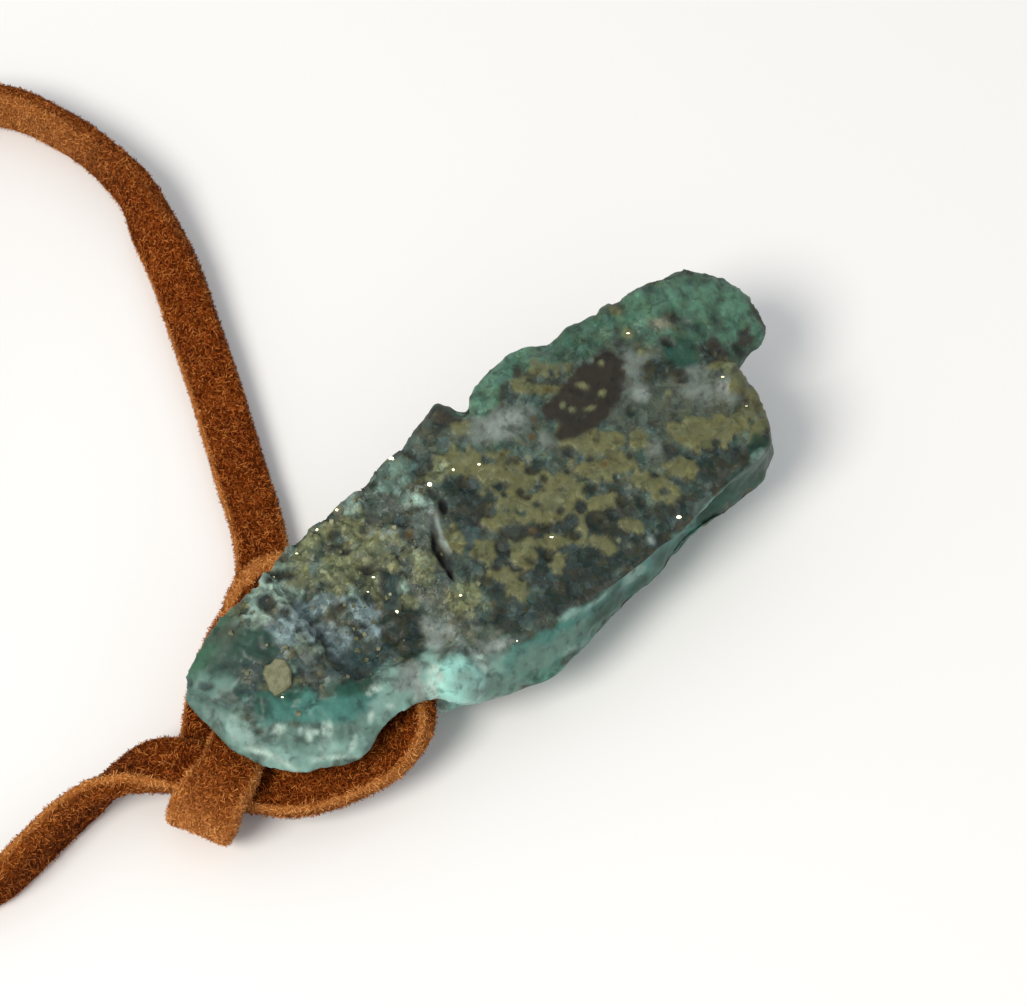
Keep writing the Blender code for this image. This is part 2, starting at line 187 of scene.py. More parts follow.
def addAreaLight(name, place, size, power, colour="#ffffff"):
    data = bpy.data.lights.new(name, "AREA")
    data.shape = "DISK"
    data.size = size
    data.energy = power
    data.color = linear(colour)[:3]
    light = bpy.data.objects.new(name, data)
    bpy.context.scene.collection.objects.link(light)
    light.location = place
    light.rotation_euler = place.to_track_quat("Z", "Y").to_euler()
    return light


def addStudio():
    right, away = viewDirections()
    up = Vector((0.0, 0.0, 1.0))
    key = -right * 0.20 - away * 0.20 + up * 0.34  # soft window light from the left and the front
    addAreaLight("windowLight", key, studio["keySize"], studio["keyPower"], "#fffaf2")
    world = bpy.data.worlds.new("studioSky")
    world.use_nodes = True
    world.node_tree.nodes["Background"].inputs["Color"].default_value = linear("#f4f7fb")
    world.node_tree.nodes["Background"].inputs["Strength"].default_value = studio["skyStrength"]
    bpy.context.scene.world = world
    bpy.context.scene.view_settings.view_transform = "Standard"

    cloth = newMaterial("white cloth", {"Base Color": "#f1f0ee", "Roughness": 0.8})[0]
    bm = bmesh.new()
    bmesh.ops.create_grid(bm, x_segments=1, y_segments=1, size=0.6)
    floor = addObject("floor", meshFrom(bm, "floor"), cloth)
    floor.location.z = -studio["floorGap"] * mm


addCamera()
addStudio()
print("camera, light and floor are set")


def asSeen(points):
    # where each point appears, across and up from the middle of the view, in mm
    camera = bpy.context.scene.camera
    bpy.context.view_layer.update()
    turned = np.array(camera.matrix_world.inverted())
    local = points * mm @ turned[:3, :3].T + turned[:3, 3]
    return local[:, 0] / -local[:, 2] * studio["distance"], local[:, 1] / -local[:, 2] * studio["distance"]


def towardsCamera(normals):
    matrix = bpy.context.scene.camera.matrix_world
    return normals @ np.array(matrix.col[2])[:3]


# the lace: two strands from the drilled hole to the knot in the coil's middle

suede = {
    "width": 2.86,  # without the nap
    "thickness": 1.28,
    "corner": 0.28,  # rounding of the long edges
    "step": 0.35,  # from one ring of the mesh to the next
    "wander": 0.035,  # unevenness of the cut, mm
    "foldSwell": 0.30,  # how much wider the lace bulges where it is folded back
    "swellReach": 2.6,  # how far from the fold, mm
    "foldHighlight": 1.35,  # how pale a painted highlight makes the fold's outer side
    "highlightReach": 2.0,
    "faceLight": 0.75,  # painted light: how pale the lit face of the upper strand's bend is made
    "edgeSoil": 0.1,  # what is left of the pale cut edge where the lace stands on its side
    "napDensity": 120,  # fibres to a square millimetre
    "napLength": 0.23,
    "napWidth": 0.036,
    "napHidden": 0.3,  # share of the nap behind and under the stone
    "napCoil": 0.03,  # and in the wound length
    "napReach": 31.0,  # how far from the middle of the view the nap is full, mm
    "bareBelow": 0.4,  # no nap underneath, where the lace lies on the table
    "clearance": 0.06,  # between the lace and the table
    "coilRadius": 20.3,
    "coilPitch": 1.6,
    "knot": (-40.6, 36.4),
}

# x, y, z, then the heading and rise of the lace's width in degrees
upperRoute = [
    (-9.2, 0.15, 3.7, 180, 90), (-9.2, 2.6, 3.7, 180, 90), (-9.35, 4.2, 3.65, 150, 88),
    (-10.0, 5.5, 3.5, 120, 84), (-11.3, 6.1, 3.2, 100, 72), (-12.8, 5.5, 3.0, 110, 44),
    (-14.2, 4.0, 2.95, 128, 16), (-15.4, 2.4, 2.95, 136, 2), (-16.6, 0.7, 3.15, 138, 0),
    (-17.8, -0.8, 3.7, 132, 0), (-18.7, -1.8, 4.1, 124, 0), (-19.9, -2.65, 4.2, 120, 0),
    (-20.85, -3.0, 4.1, 118, 0), (-21.6, -3.2, 3.4, 118, 0), (-21.95, -3.15, 2.35, 118, 0),
    (-21.75, -2.6, 1.15, 122, 0), (-21.0, -1.55, 0.72, 132, 0), (-19.9, -0.2, 0.75, 140, 0),
    (-17.6, 2.6, 0.75, 140, 0), (-14.8, 5.0, 0.75, 128, 0), (-12.8, 6.1, 0.75, 124, 0),
    (-10.9, 7.6, 0.75, 134, 0), (-9.5, 9.9, 0.75, 148, 0), (-8.3, 13.2, 0.8, 158, 0),
    (-7.5, 15.4, 0.85, 160, -2), (-6.1, 19.3, 0.95, 162, -6), (-4.8, 23.3, 1.1, 163, -12),
    (-3.5, 27.4, 1.3, 166, -26), (-2.8, 30.8, 1.5, 172, -50), (-2.3, 33.3, 1.6, 178, -70),
    (-2.4, 35.6, 1.6, 185, -80), (-2.8, 38.1, 1.6, 195, -86), (-3.5, 40.3, 1.55, 205, -88),
    (-4.3, 42.2, 1.55, 215, -88), (-5.4, 43.7, 1.55, 225, -88), (-7.6, 45.4, 1.55, 240, -88),
    (-10.6, 45.8, 1.55, 270, -88), (-13.4, 43.4, 1.55, 300, -88), (-15.6, 39.4, 1.55, 310, -88),
    (-18.9, 34.5, 1.55, 310, -88), (-22.4, 29.8, 1.55, 310, -89),
]
lowerRoute = [
    (-9.2, -0.15, 3.7, 0, 90), (-9.2, -3.0, 3.7, 0, 90), (-9.25, -4.4, 3.6, 330, 76),
    (-9.75, -5.15, 3.5, 316, 52), (-10.45, -5.65, 3.35, 302, 32), (-11.4, -5.95, 3.15, 288, 16),
    (-12.5, -6.05, 2.95, 275, 6), (-13.9, -5.85, 2.8, 263, 2), (-15.6, -5.4, 2.65, 250, 0),
    (-17.1, -4.65, 2.5, 238, 0), (-18.5, -3.3, 2.45, 228, 0), (-19.9, -1.5, 2.48, 220, 0),
    (-20.9, -0.3, 2.48, 222, 0), (-21.7, 0.6, 2.42, 230, 6), (-22.5, 1.15, 2.2, 245, 22),
    (-23.9, 1.6, 1.9, 262, 52), (-25.9, 1.7, 1.6, 272, 84), (-27.9, 1.5, 1.55, 278, 92),
    (-30.1, 1.0, 1.55, 276, 92), (-32.2, 0.6, 1.55, 272, 90), (-35.0, 1.2, 1.55, 262, 88),
    (-37.6, 3.0, 1.55, 240, 88), (-39.8, 6.0, 1.55, 215, 88), (-41.9, 9.4, 1.55, 215, 88),
    (-44.4, 12.4, 1.55, 220, 88), (-47.4, 15.1, 1.55, 225, 88), (-50.8, 18.0, 1.55, 225, 89),
]


def widthDirection(heading, rise):
    flat, turn = math.cos(math.radians(rise)), math.radians(heading)
    return flat * math.cos(turn), flat * math.sin(turn), math.sin(math.radians(rise))


def coilTurns(entry, radius, turned, side):
    # the wound length: clockwise seen from above, one arm of a double spiral
    rows = []
    for angle in np.arange(0.0, turned, 15.0):
        r = radius - 2 * suede["coilPitch"] * angle / 360
        at = math.radians(entry - angle)
        rows.append((drawnCoil.x + r * math.cos(at), drawnCoil.y + r * math.sin(at), 1.55, 0, 0, side))
    return rows


def smoothCurve(stations, spacing):
    rows = np.array(stations, float)
    knots = np.concatenate([[0.0], np.cumsum(np.linalg.norm(np.diff(rows[:, :3], axis=0), axis=1))])
    slopes = np.gradient(rows, knots, axis=0)
    at = np.linspace(0.0, knots[-1], 60 * len(rows))
    left = np.clip(np.searchsorted(knots, at, side="right") - 1, 0, len(knots) - 2)
    span = (knots[left + 1] - knots[left])[:, None]
    t = (at - knots[left])[:, None] / span
    fine = (
        (2 * t**3 - 3 * t**2 + 1) * rows[left]
        + (t**3 - 2 * t**2 + t) * span * slopes[left]
        + (3 * t**2 - 2 * t**3) * rows[left + 1]
        + (t**3 - t**2) * span * slopes[left + 1]
    )
    along = np.concatenate([[0.0], np.cumsum(np.linalg.norm(np.diff(fine[:, :3], axis=0), axis=1))])
    even = np.linspace(0.0, along[-1], max(2, round(along[-1] / spacing) + 1))
    return np.stack([np.interp(even, along, fine[:, k]) for k in range(rows.shape[1])], axis=1), along[-1]


def laceSection():
    # half-round corners, and where each point lies: 1 on a cut edge, 0 on a face
    w, t, c = suede["width"] / 2, suede["thickness"] / 2, suede["corner"]
    points = []
    corners = ((w - c, t - c, 0), (-w + c, t - c, 90), (-w + c, -t + c, 180), (w - c, -t + c, 270))
    for cx, cy, first in corners:
        for turn in (0, 45, 90):
            angle = math.radians(first + turn)
            points.append((cx + c * math.cos(angle), cy + c * math.sin(angle)))
        if first in (0, 180):
            side = 1 if first == 0 else -1
            points += [(side * (w - c) * k, side * t) for k in (0.5, 0.0, -0.5)]
        else:
            points.append((w if first == 270 else -w, 0.0))
    edge = [1.0 if abs(x) > w - 0.3 * c else (0.45 if abs(x) > w - c else 0.0) for x, y in points]
    return points, edge


solidStone = BVHTree.FromObject(bpy.data.objects["emerald_stone"], bpy.context.evaluated_depsgraph_get())


def napShare(centres, across):
    # 1 where the camera sees a ring, less where the stone hides it, least in the wound length
    camera = bpy.context.scene.camera.matrix_world.translation
    halfWidth = suede["width"] / 2
    framed = np.abs(np.stack(asSeen(centres + np.array(shift)))).max(axis=0) < suede["napReach"]
    share = []
    for centre, a, near in zip(centres, across, framed):
        hidden = True
        for side in (-halfWidth, 0.0, halfWidth):
            start = toFrame(*(centre + a * side)) + Vector((0.0, 0.0, halfWidth * mm))
            hidden = hidden and solidStone.ray_cast(start, (camera - start).normalized())[0] is not None
        share.append((suede["napHidden"] if hidden else 1.0) if near else suede["napCoil"])
    return share


foldPlace = (-21.9, -3.4, 3.0)  # where the upper strand is folded back
foldFoot = (-22.3, -3.3, 1.6)  # the outer side of the fold, made pale by a painted highlight


def nearTo(place, centres, reach):
    # 1 at a place, falling off with the distance from it
    return np.exp(-((np.linalg.norm(centres - np.array(place), axis=1) / reach) ** 2))


def sweepLace(name, rows, material):
    centres = rows[:, :3]
    forward = np.gradient(centres, axis=0)
    forward /= np.linalg.norm(forward, axis=1, keepdims=True)
    across = rows[:, 3:6] - (rows[:, 3:6] * forward).sum(axis=1, keepdims=True) * forward
    across /= np.linalg.norm(across, axis=1, keepdims=True)
    through = np.cross(forward, across)
    section, edge = laceSection()
    isUpper = name == "suedeUpper"
    swell = 1.0 + suede["foldSwell"] * nearTo(foldPlace, centres, suede["swellReach"]) * isUpper
    # painted highlight: the pale cut-edge colour laid over the fold's outer side
    foldLit = nearTo(foldFoot, centres, suede["highlightReach"]) * isUpper
    soiled = smoothStep(0.25, 0.8, across[:, 2])  # where the lace stands on its side, and beside the tip
    soiled = np.maximum(soiled, 0.55 * smoothStep(-13.0, -15.0, centres[:, 0])) * (name == "suedeLower")
    drawn = smoothStep(-20.0, -14.0, centres[:, 0]) * isUpper  # the strand that is led away
    # painted shade together with the dark nap: the strand's cut edge on the side away from the light is
    # darkened
    darkNapAndShadeSide = smoothStep(8.0, 13.0, centres[:, 1]) * drawn
    # painted light: the face of the upper strand's bend that stands turned to the window light
    litFace = smoothStep(33.0, 42.0, centres[:, 1]) * drawn
    nap = napShare(centres, across)
    bm = bmesh.new()
    edgeLayer = bm.verts.layers.float.new("cutEdge")
    napLayer = bm.verts.layers.float.new("nap")
    rings = []
    for i, (centre, a, b) in enumerate(zip(centres, across, through)):
        ring = []
        for j, (p, q) in enumerate(section):
            uneven = noise.noise(Vector(centre) * 0.8 + Vector((0, 0, 5.0 * (p > 0)))) * suede["wander"]
            uneven += noise.noise(Vector(centre) * 3.0 + Vector((j, 0, 0))) * suede["wander"] * 0.8
            offset = a * (p * swell[i] + math.copysign(uneven, p)) + b * (q + math.copysign(uneven, q))
            vert = bm.verts.new(toFrame(*(centre + offset)))
            rim = min(1.25, 2.5 * edge[j]) if p * q > 0.3 else suede["edgeSoil"] * edge[j]
            cut = max(edge[j] + (rim - edge[j]) * soiled[i], suede["foldHighlight"] * foldLit[i])
            cut *= 1.0 - 0.9 * darkNapAndShadeSide[i] * (p < 0)
            vert[edgeLayer] = max(cut, suede["faceLight"] * litFace[i] * (q > 0))
            vert[napLayer] = nap[i] * (vert.co.z > suede["bareBelow"] * mm)
            ring.append(vert)
        rings.append(ring)
    joinRings(bm, rings)
    bmesh.ops.recalc_face_normals(bm, faces=bm.faces)
    mesh = meshFrom(bm, name)
    mesh.shade_smooth()
    return addObject(name, mesh, material)


def startGroup(name, numbers, material, where, choices):
    # a node group that scatters points over a mesh, dense where the attribute "where" is high
    tree = bpy.data.node_groups.new(name, "GeometryNodeTree")
    face = tree.interface
    face.new_socket("Geometry", in_out="INPUT", socket_type="NodeSocketGeometry")
    face.new_socket("Geometry", in_out="OUTPUT", socket_type="NodeSocketGeometry")
    for title, kind in numbers:
        face.new_socket(title, in_out="INPUT", socket_type="NodeSocket" + kind)
    face.new_socket(material, in_out="INPUT", socket_type="NodeSocketMaterial")
    entry = tree.nodes.new("NodeGroupInput").outputs
    share = addNode(tree, "GeometryNodeInputNamedAttribute", {"Name": where}, data_type="FLOAT")
    thick = addNode(tree, "ShaderNodeMath", {0: share.outputs["Attribute"], 1: entry["Density"]},
                    operation="MULTIPLY")
    scatter = addNode(tree, "GeometryNodeDistributePointsOnFaces",
                      {"Mesh": entry["Geometry"], "Density": thick.outputs[0], "Seed": entry["Seed"]})
    # each random choice gets a seed of its own
    seeds = [
        addNode(tree, "ShaderNodeMath", {0: entry["Seed"], 1: i + 1}, operation="ADD").outputs[0]
        for i in range(choices)
    ]
    return tree, entry, scatter.outputs, seeds


def makeReal(tree, points, shape, turn, size, material):
    # a copy of the shape on every point, made real and given its material
    copies = addNode(tree, "GeometryNodeInstanceOnPoints",
                     {"Points": points, "Instance": shape, "Rotation": turn, "Scale": size})
    real = addNode(tree, "GeometryNodeRealizeInstances", {0: copies.outputs[0]}).outputs[0]
    return addNode(tree, "GeometryNodeSetMaterial", {"Geometry": real, "Material": material}).outputs[0]


def napTree():
    numbers = (("Density", "Float"), ("Length", "Float"), ("Width", "Float"), ("Seed", "Int"))
    tree, entry, scatter, seeds = startGroup("suede nap", numbers, "Fibre", "nap", 3)
    strip = addNode(tree, "GeometryNodeMeshGrid", {
        "Size X": entry["Width"], "Size Y": entry["Length"], "Vertices X": 2, "Vertices Y": 2,
    })
    # a fibre grows from its foot, not from its middle
    half = addNode(tree, "ShaderNodeMath", {0: entry["Length"], 1: 0.45}, operation="MULTIPLY")
    root = addNode(tree, "ShaderNodeCombineXYZ", {1: half.outputs[0]})
    rooted = addNode(tree, "GeometryNodeSetPosition",
                     {"Geometry": strip.outputs["Mesh"], "Offset": root.outputs[0]})
    tilt = addNode(tree, "FunctionNodeRandomValue",
                   {0: (0.0, -0.6, 0.0), 1: (0.6, 0.6, math.tau), "Seed": seeds[0]},
                   data_type="FLOAT_VECTOR")
    turned = addNode(tree, "FunctionNodeRotateRotation", {0: scatter["Rotation"], 1: tilt.outputs[0]},
                     rotation_space="LOCAL")
    size = addNode(tree, "FunctionNodeRandomValue", {2: 0.5, 3: 1.4, "Seed": seeds[1]}).outputs[1]
    fleck = addNode(tree, "FunctionNodeRandomValue", {2: 0.0, 3: 1.0, "Seed": seeds[2]}).outputs[1]
    marked = addNode(tree, "GeometryNodeStoreNamedAttribute",
                     {"Geometry": scatter["Points"], "Name": "fleck", "Value": fleck},
                     data_type="FLOAT", domain="POINT")
    painted = makeReal(tree, marked.outputs[0], rooted.outputs[0], turned.outputs[0], size, entry["Fibre"])
    joined = addNode(tree, "GeometryNodeJoinGeometry", {0: painted})
    tree.links.new(entry["Geometry"], joined.inputs[0])
    addNode(tree, "NodeGroupOutput", {0: joined.outputs[0]})
    return tree


def useTree(obj, tree, values):
    # gives an object the result of a node group, as a plain mesh
    modifier = obj.modifiers.new(tree.name, "NODES")
    modifier.node_group = tree
    for item in tree.interface.items_tree:
        if item.in_out == "INPUT" and item.name in values:
            modifier[item.identifier] = values[item.name]
    made = bakeModifiers(obj)
    made.name = obj.name
    old = obj.data
    obj.data = made
    bpy.data.meshes.remove(old)


def brushedSuede():  # dense dark nap, paler where the lace was cut from the hide
    material, tree, shader = newMaterial("brushed suede", {"Roughness": 0.95, "Specular IOR Level": 0.05})
    place = placeInMm(tree)
    clouds, nap = (
        addNode(tree, "ShaderNodeTexNoise", {
            "Vector": place, "Scale": scale, "Detail": 3.0, "Roughness": rough, "Distortion": warp,
        }).outputs["Fac"]
        for scale, rough, warp in ((0.5, 0.6, 0.0), (5.5, 0.7, 0.5))
    )
    cloudy, dense, thin = (
        addNode(tree, "ShaderNodeMapRange", {"Value": pattern, "From Min": low, "From Max": high},
                interpolation_type="SMOOTHSTEP").outputs["Result"]
        for pattern, low, high in ((clouds, 0.32, 0.68), (nap, 0.36, 0.56), (nap, 0.3, 0.7))
    )
    base = addNode(tree, "ShaderNodeMix", {0: cloudy, 6: "#542102", 7: "#743506"}, data_type="RGBA")
    dark = addNode(tree, "ShaderNodeMix", {0: dense, 6: "#2c0f00", 7: base.outputs[2]}, data_type="RGBA")
    cut = addNode(tree, "ShaderNodeMix", {0: thin, 6: "#8f4c18", 7: "#c27a38"}, data_type="RGBA")
    edge = addNode(tree, "ShaderNodeAttribute", attribute_name="cutEdge").outputs["Fac"]
    share = addNode(tree, "ShaderNodeMath", {0: edge, 1: 0.8}, operation="MULTIPLY")
    colour = addNode(tree, "ShaderNodeMix", {0: share.outputs[0], 6: dark.outputs[2], 7: cut.outputs[2]},
                     data_type="RGBA")
    tree.links.new(colour.outputs[2], shader.inputs["Base Color"])
    bump = addNode(tree, "ShaderNodeBump", {"Height": nap, "Strength": 0.8, "Distance": 0.00015})
    tree.links.new(bump.outputs[0], shader.inputs["Normal"])
    return material


def suedeFibres():  # single fibres, from dark brown to tan
    material, tree, shader = newMaterial("suede fibres", {"Roughness": 0.85, "Specular IOR Level": 0.08})
    fleck, edge = (
        addNode(tree, "ShaderNodeAttribute", attribute_name=name).outputs["Fac"]
        for name in ("fleck", "cutEdge")
    )
    clouds = addNode(tree, "ShaderNodeTexNoise", {
        "Vector": placeInMm(tree), "Scale": 1.1, "Detail": 3.0, "Roughness": 0.65, "Distortion": 0.0,
    }).outputs["Fac"]
    patchy = addNode(tree, "ShaderNodeMath", {0: clouds, 1: 0.9, 2: -0.45}, operation="MULTIPLY_ADD")
    lit = addNode(tree, "ShaderNodeMath", {0: fleck, 1: patchy.outputs[0]}, operation="ADD").outputs[0]
    colour = "#3f1402"
    for low, high, paler in ((0.05, 0.6, "#934716"), (0.6, 1.1, "#c0783a")):
        past = addNode(tree, "ShaderNodeMapRange", {"Value": lit, "From Min": low, "From Max": high},
                       interpolation_type="SMOOTHSTEP").outputs["Result"]
        colour = addNode(tree, "ShaderNodeMix", {0: past, 6: colour, 7: paler}, data_type="RGBA").outputs[2]
    pale = addNode(tree, "ShaderNodeMix", {0: fleck, 6: "#b0642a", 7: "#dea463"}, data_type="RGBA")
    share = addNode(tree, "ShaderNodeMath", {0: edge, 1: 0.75}, operation="MULTIPLY")
    colour = addNode(tree, "ShaderNodeMix", {0: share.outputs[0], 6: colour, 7: pale.outputs[2]},
                     data_type="RGBA")
    tree.links.new(colour.outputs[2], shader.inputs["Base Color"])
    return material


def makeStrand(name, route, wound, lead, material):
    entry, radius, turned, side = wound
    stations = [(x, y, z, *widthDirection(heading, rise)) for x, y, z, heading, rise in route]
    stations += coilTurns(entry, radius, turned, side)
    stations += [(x, y, 1.6, 0, 0, side) for x, y in lead]
    rows, length = smoothCurve(stations, suede["step"])
    rise = np.abs(rows[:, 5]) / np.linalg.norm(rows[:, 3:6], axis=1)
    reach = suede["width"] / 2 * rise + suede["thickness"] / 2 * np.sqrt(1.0 - rise**2)
    rows[:, 2] = np.maximum(rows[:, 2], reach + suede["clearance"])
    strand = sweepLace(name, rows, material)
    useTree(strand, nap, {
        "Density": suede["napDensity"] / mm**2, "Length": suede["napLength"] * mm,
        "Width": suede["napWidth"] * mm, "Seed": 7 + len(route), "Fibre": fibres,
    })
    path = [toFrame(*row[:3]) for row in rows[::3]]
    print(name, "is", round(length), "mm long")
    return strand, path, length


suedeBrown = brushedSuede()
fibres = suedeFibres()
nap = napTree()
knotX, knotY = suede["knot"]
# where each strand is wound: the angle it enters at, its radius, how far it turns and which edge is up
upperWound = (viewTurn, suede["coilRadius"], 880, -1)
lowerWound = (viewTurn - 90, suede["coilRadius"] + suede["coilPitch"] / 2, 1055, 1)
upperLead = [
    (-53.0, 42.5), (-51.5, 43.6), (-49.7, 43.7), (-48.0, 42.9),
    (-46.8, 41.4), (-45.0, 39.0), (-42.2, 37.4), (-39.0, 36.9),
]
lowerLead = [
    (-46.3, 27.2), (-47.1, 28.7), (-47.1, 30.3), (-46.5, 31.6), (-45.0, 33.9), (-42.2, 35.5), (-39.0, 36.0),
]
upperStrand, upperPath, upperLength = makeStrand(
    "suedeUpper", upperRoute, upperWound, upperLead, suedeBrown
)
lowerStrand, lowerPath, lowerLength = makeStrand(
    "suedeLower", lowerRoute, lowerWound, lowerLead, suedeBrown
)


# the stone

stone = {
    "mesh": 0.142,  # side of one facet of the fine surface, mm
    "grain": 0.8,  # size of the crystal grains in the rough end, mm
    "grainHeight": 0.20,
    "ripple": 0.07,
    "relief": 1.0,  # how far the minerals stand out or lie back
    "warmth": (0.86, 0.82, 0.70),  # how much red, green and blue the rock between the patches keeps
}

# Lumps and dents of the outline: across and up the view, radius and how far out, in mm.
bulges = [
    (11.8, 7.0, 1.05, 0.7), (5.0, 10.7, 1.0, 0.45), (1.7, 9.0, 0.9, -0.45), (-2.8, 5.2, 0.45, -0.6),
    (-4.2, 5.1, 0.5, 0.35),
]
# Where the near side falls back: how far along, how wide and how deep, in mm.
hollows = [(8.8, 3.2, 1.25), (3.3, 2.8, 0.6)]
holeX, holeZ = -9.2, 3.7  # the drilled hole's line, in mm

# Each mineral: how ragged its outline is, how far it has grown, how soft its edge is, how high it stands,
# all in mm, then its finish: how metallic, waxy and rough it is, and how even it is from grain to grain.
minerals = {
    "rock": {"shape": (0.50, 0.00, 0.30, -0.04), "metal": 0.0, "wax": 0.0, "rough": 0.50, "even": 0.50},
    "grain": {"shape": (0.45, 0.05, 0.20, 0.06), "metal": 0.0, "wax": 0.15, "rough": 0.40, "even": 0.15},
    "emerald": {"shape": (0.35, 0.05, 0.30, 0.02), "metal": 0.0, "wax": 0.4, "rough": 0.40, "even": 0.92},
    "sugar": {"shape": (0.40, 0.05, 0.25, 0.03), "metal": 0.0, "wax": 0.25, "rough": 0.38, "even": 0.42},
    "lump": {"shape": (0.20, 0.05, 0.45, 0.22), "metal": 0.0, "wax": 0.35, "rough": 0.35, "even": 0.75},
    "seam": {"shape": (0.25, 0.00, 0.25, -0.12), "metal": 0.0, "wax": 0.25, "rough": 0.45, "even": 0.75},
    "quartz": {"shape": (0.25, 0.02, 0.32, 0.03), "metal": 0.0, "wax": 0.35, "rough": 0.35, "even": 0.85},
    "frost": {"shape": (0.12, 0.00, 0.14, 0.05), "metal": 0.0, "wax": 0.2, "rough": 0.50, "even": 0.70},
    "brown": {"shape": (0.30, 0.04, 0.15, -0.02), "metal": 0.0, "wax": 0.0, "rough": 0.45, "even": 0.93},
    "blot": {"shape": (0.65, -0.05, 0.22, -0.05), "metal": 0.0, "wax": 0.0, "rough": 0.50, "even": 0.60},
    "brass": {"shape": (0.55, 0.12, 0.10, 0.08), "metal": 0.25, "wax": 0.0, "rough": 0.45, "even": 0.70},
    "crack": {"shape": (0.12, 0.00, 0.08, -0.30), "metal": 0.0, "wax": 0.0, "rough": 0.80, "even": 1.00},
    "ore": {"shape": (0.60, 0.10, 0.20, 0.05), "metal": 0.15, "wax": 0.0, "rough": 0.45, "even": 0.30},
    "hole": {"shape": (0.35, 0.00, 0.12, -0.17), "metal": 0.0, "wax": 0.0, "rough": 0.70, "even": 0.50},
}

# The stone's colours, one for each mineral and how deep it looks.
stoneColours = {
    "black": "#060706",
    "gap": "#181c18",  # between crystals
    "blackRock": "#101c18",
    "tealRock": "#283c3c",
    "greyRock": "#444c40",
    "brownMica": "#28221a",
    "rust": "#50401c",
    "sand": "#8a8470",
    "brass": "#686844",  # dull pyrite
    "oliveBrass": "#707450",
    "greyGrain": "#5c645c",
    "blueGrain": "#84989a",
    "paleGrain": "#a0bcac",
    "dullQuartz": "#687068",
    "quartz": "#848e88",
    "frost": "#a8c0b4",
    "bottleGreen": "#0c3424",
    "deepEmerald": "#184438",
    "darkEmerald": "#2a443a",
    "midEmerald": "#385c48",
    "emerald": "#42746a",
    "softEmerald": "#5a766c",
    "paleEmerald": "#78988e",
    "brightEmerald": "#94c8bc",
    "greenRim": "#4e7660",
}

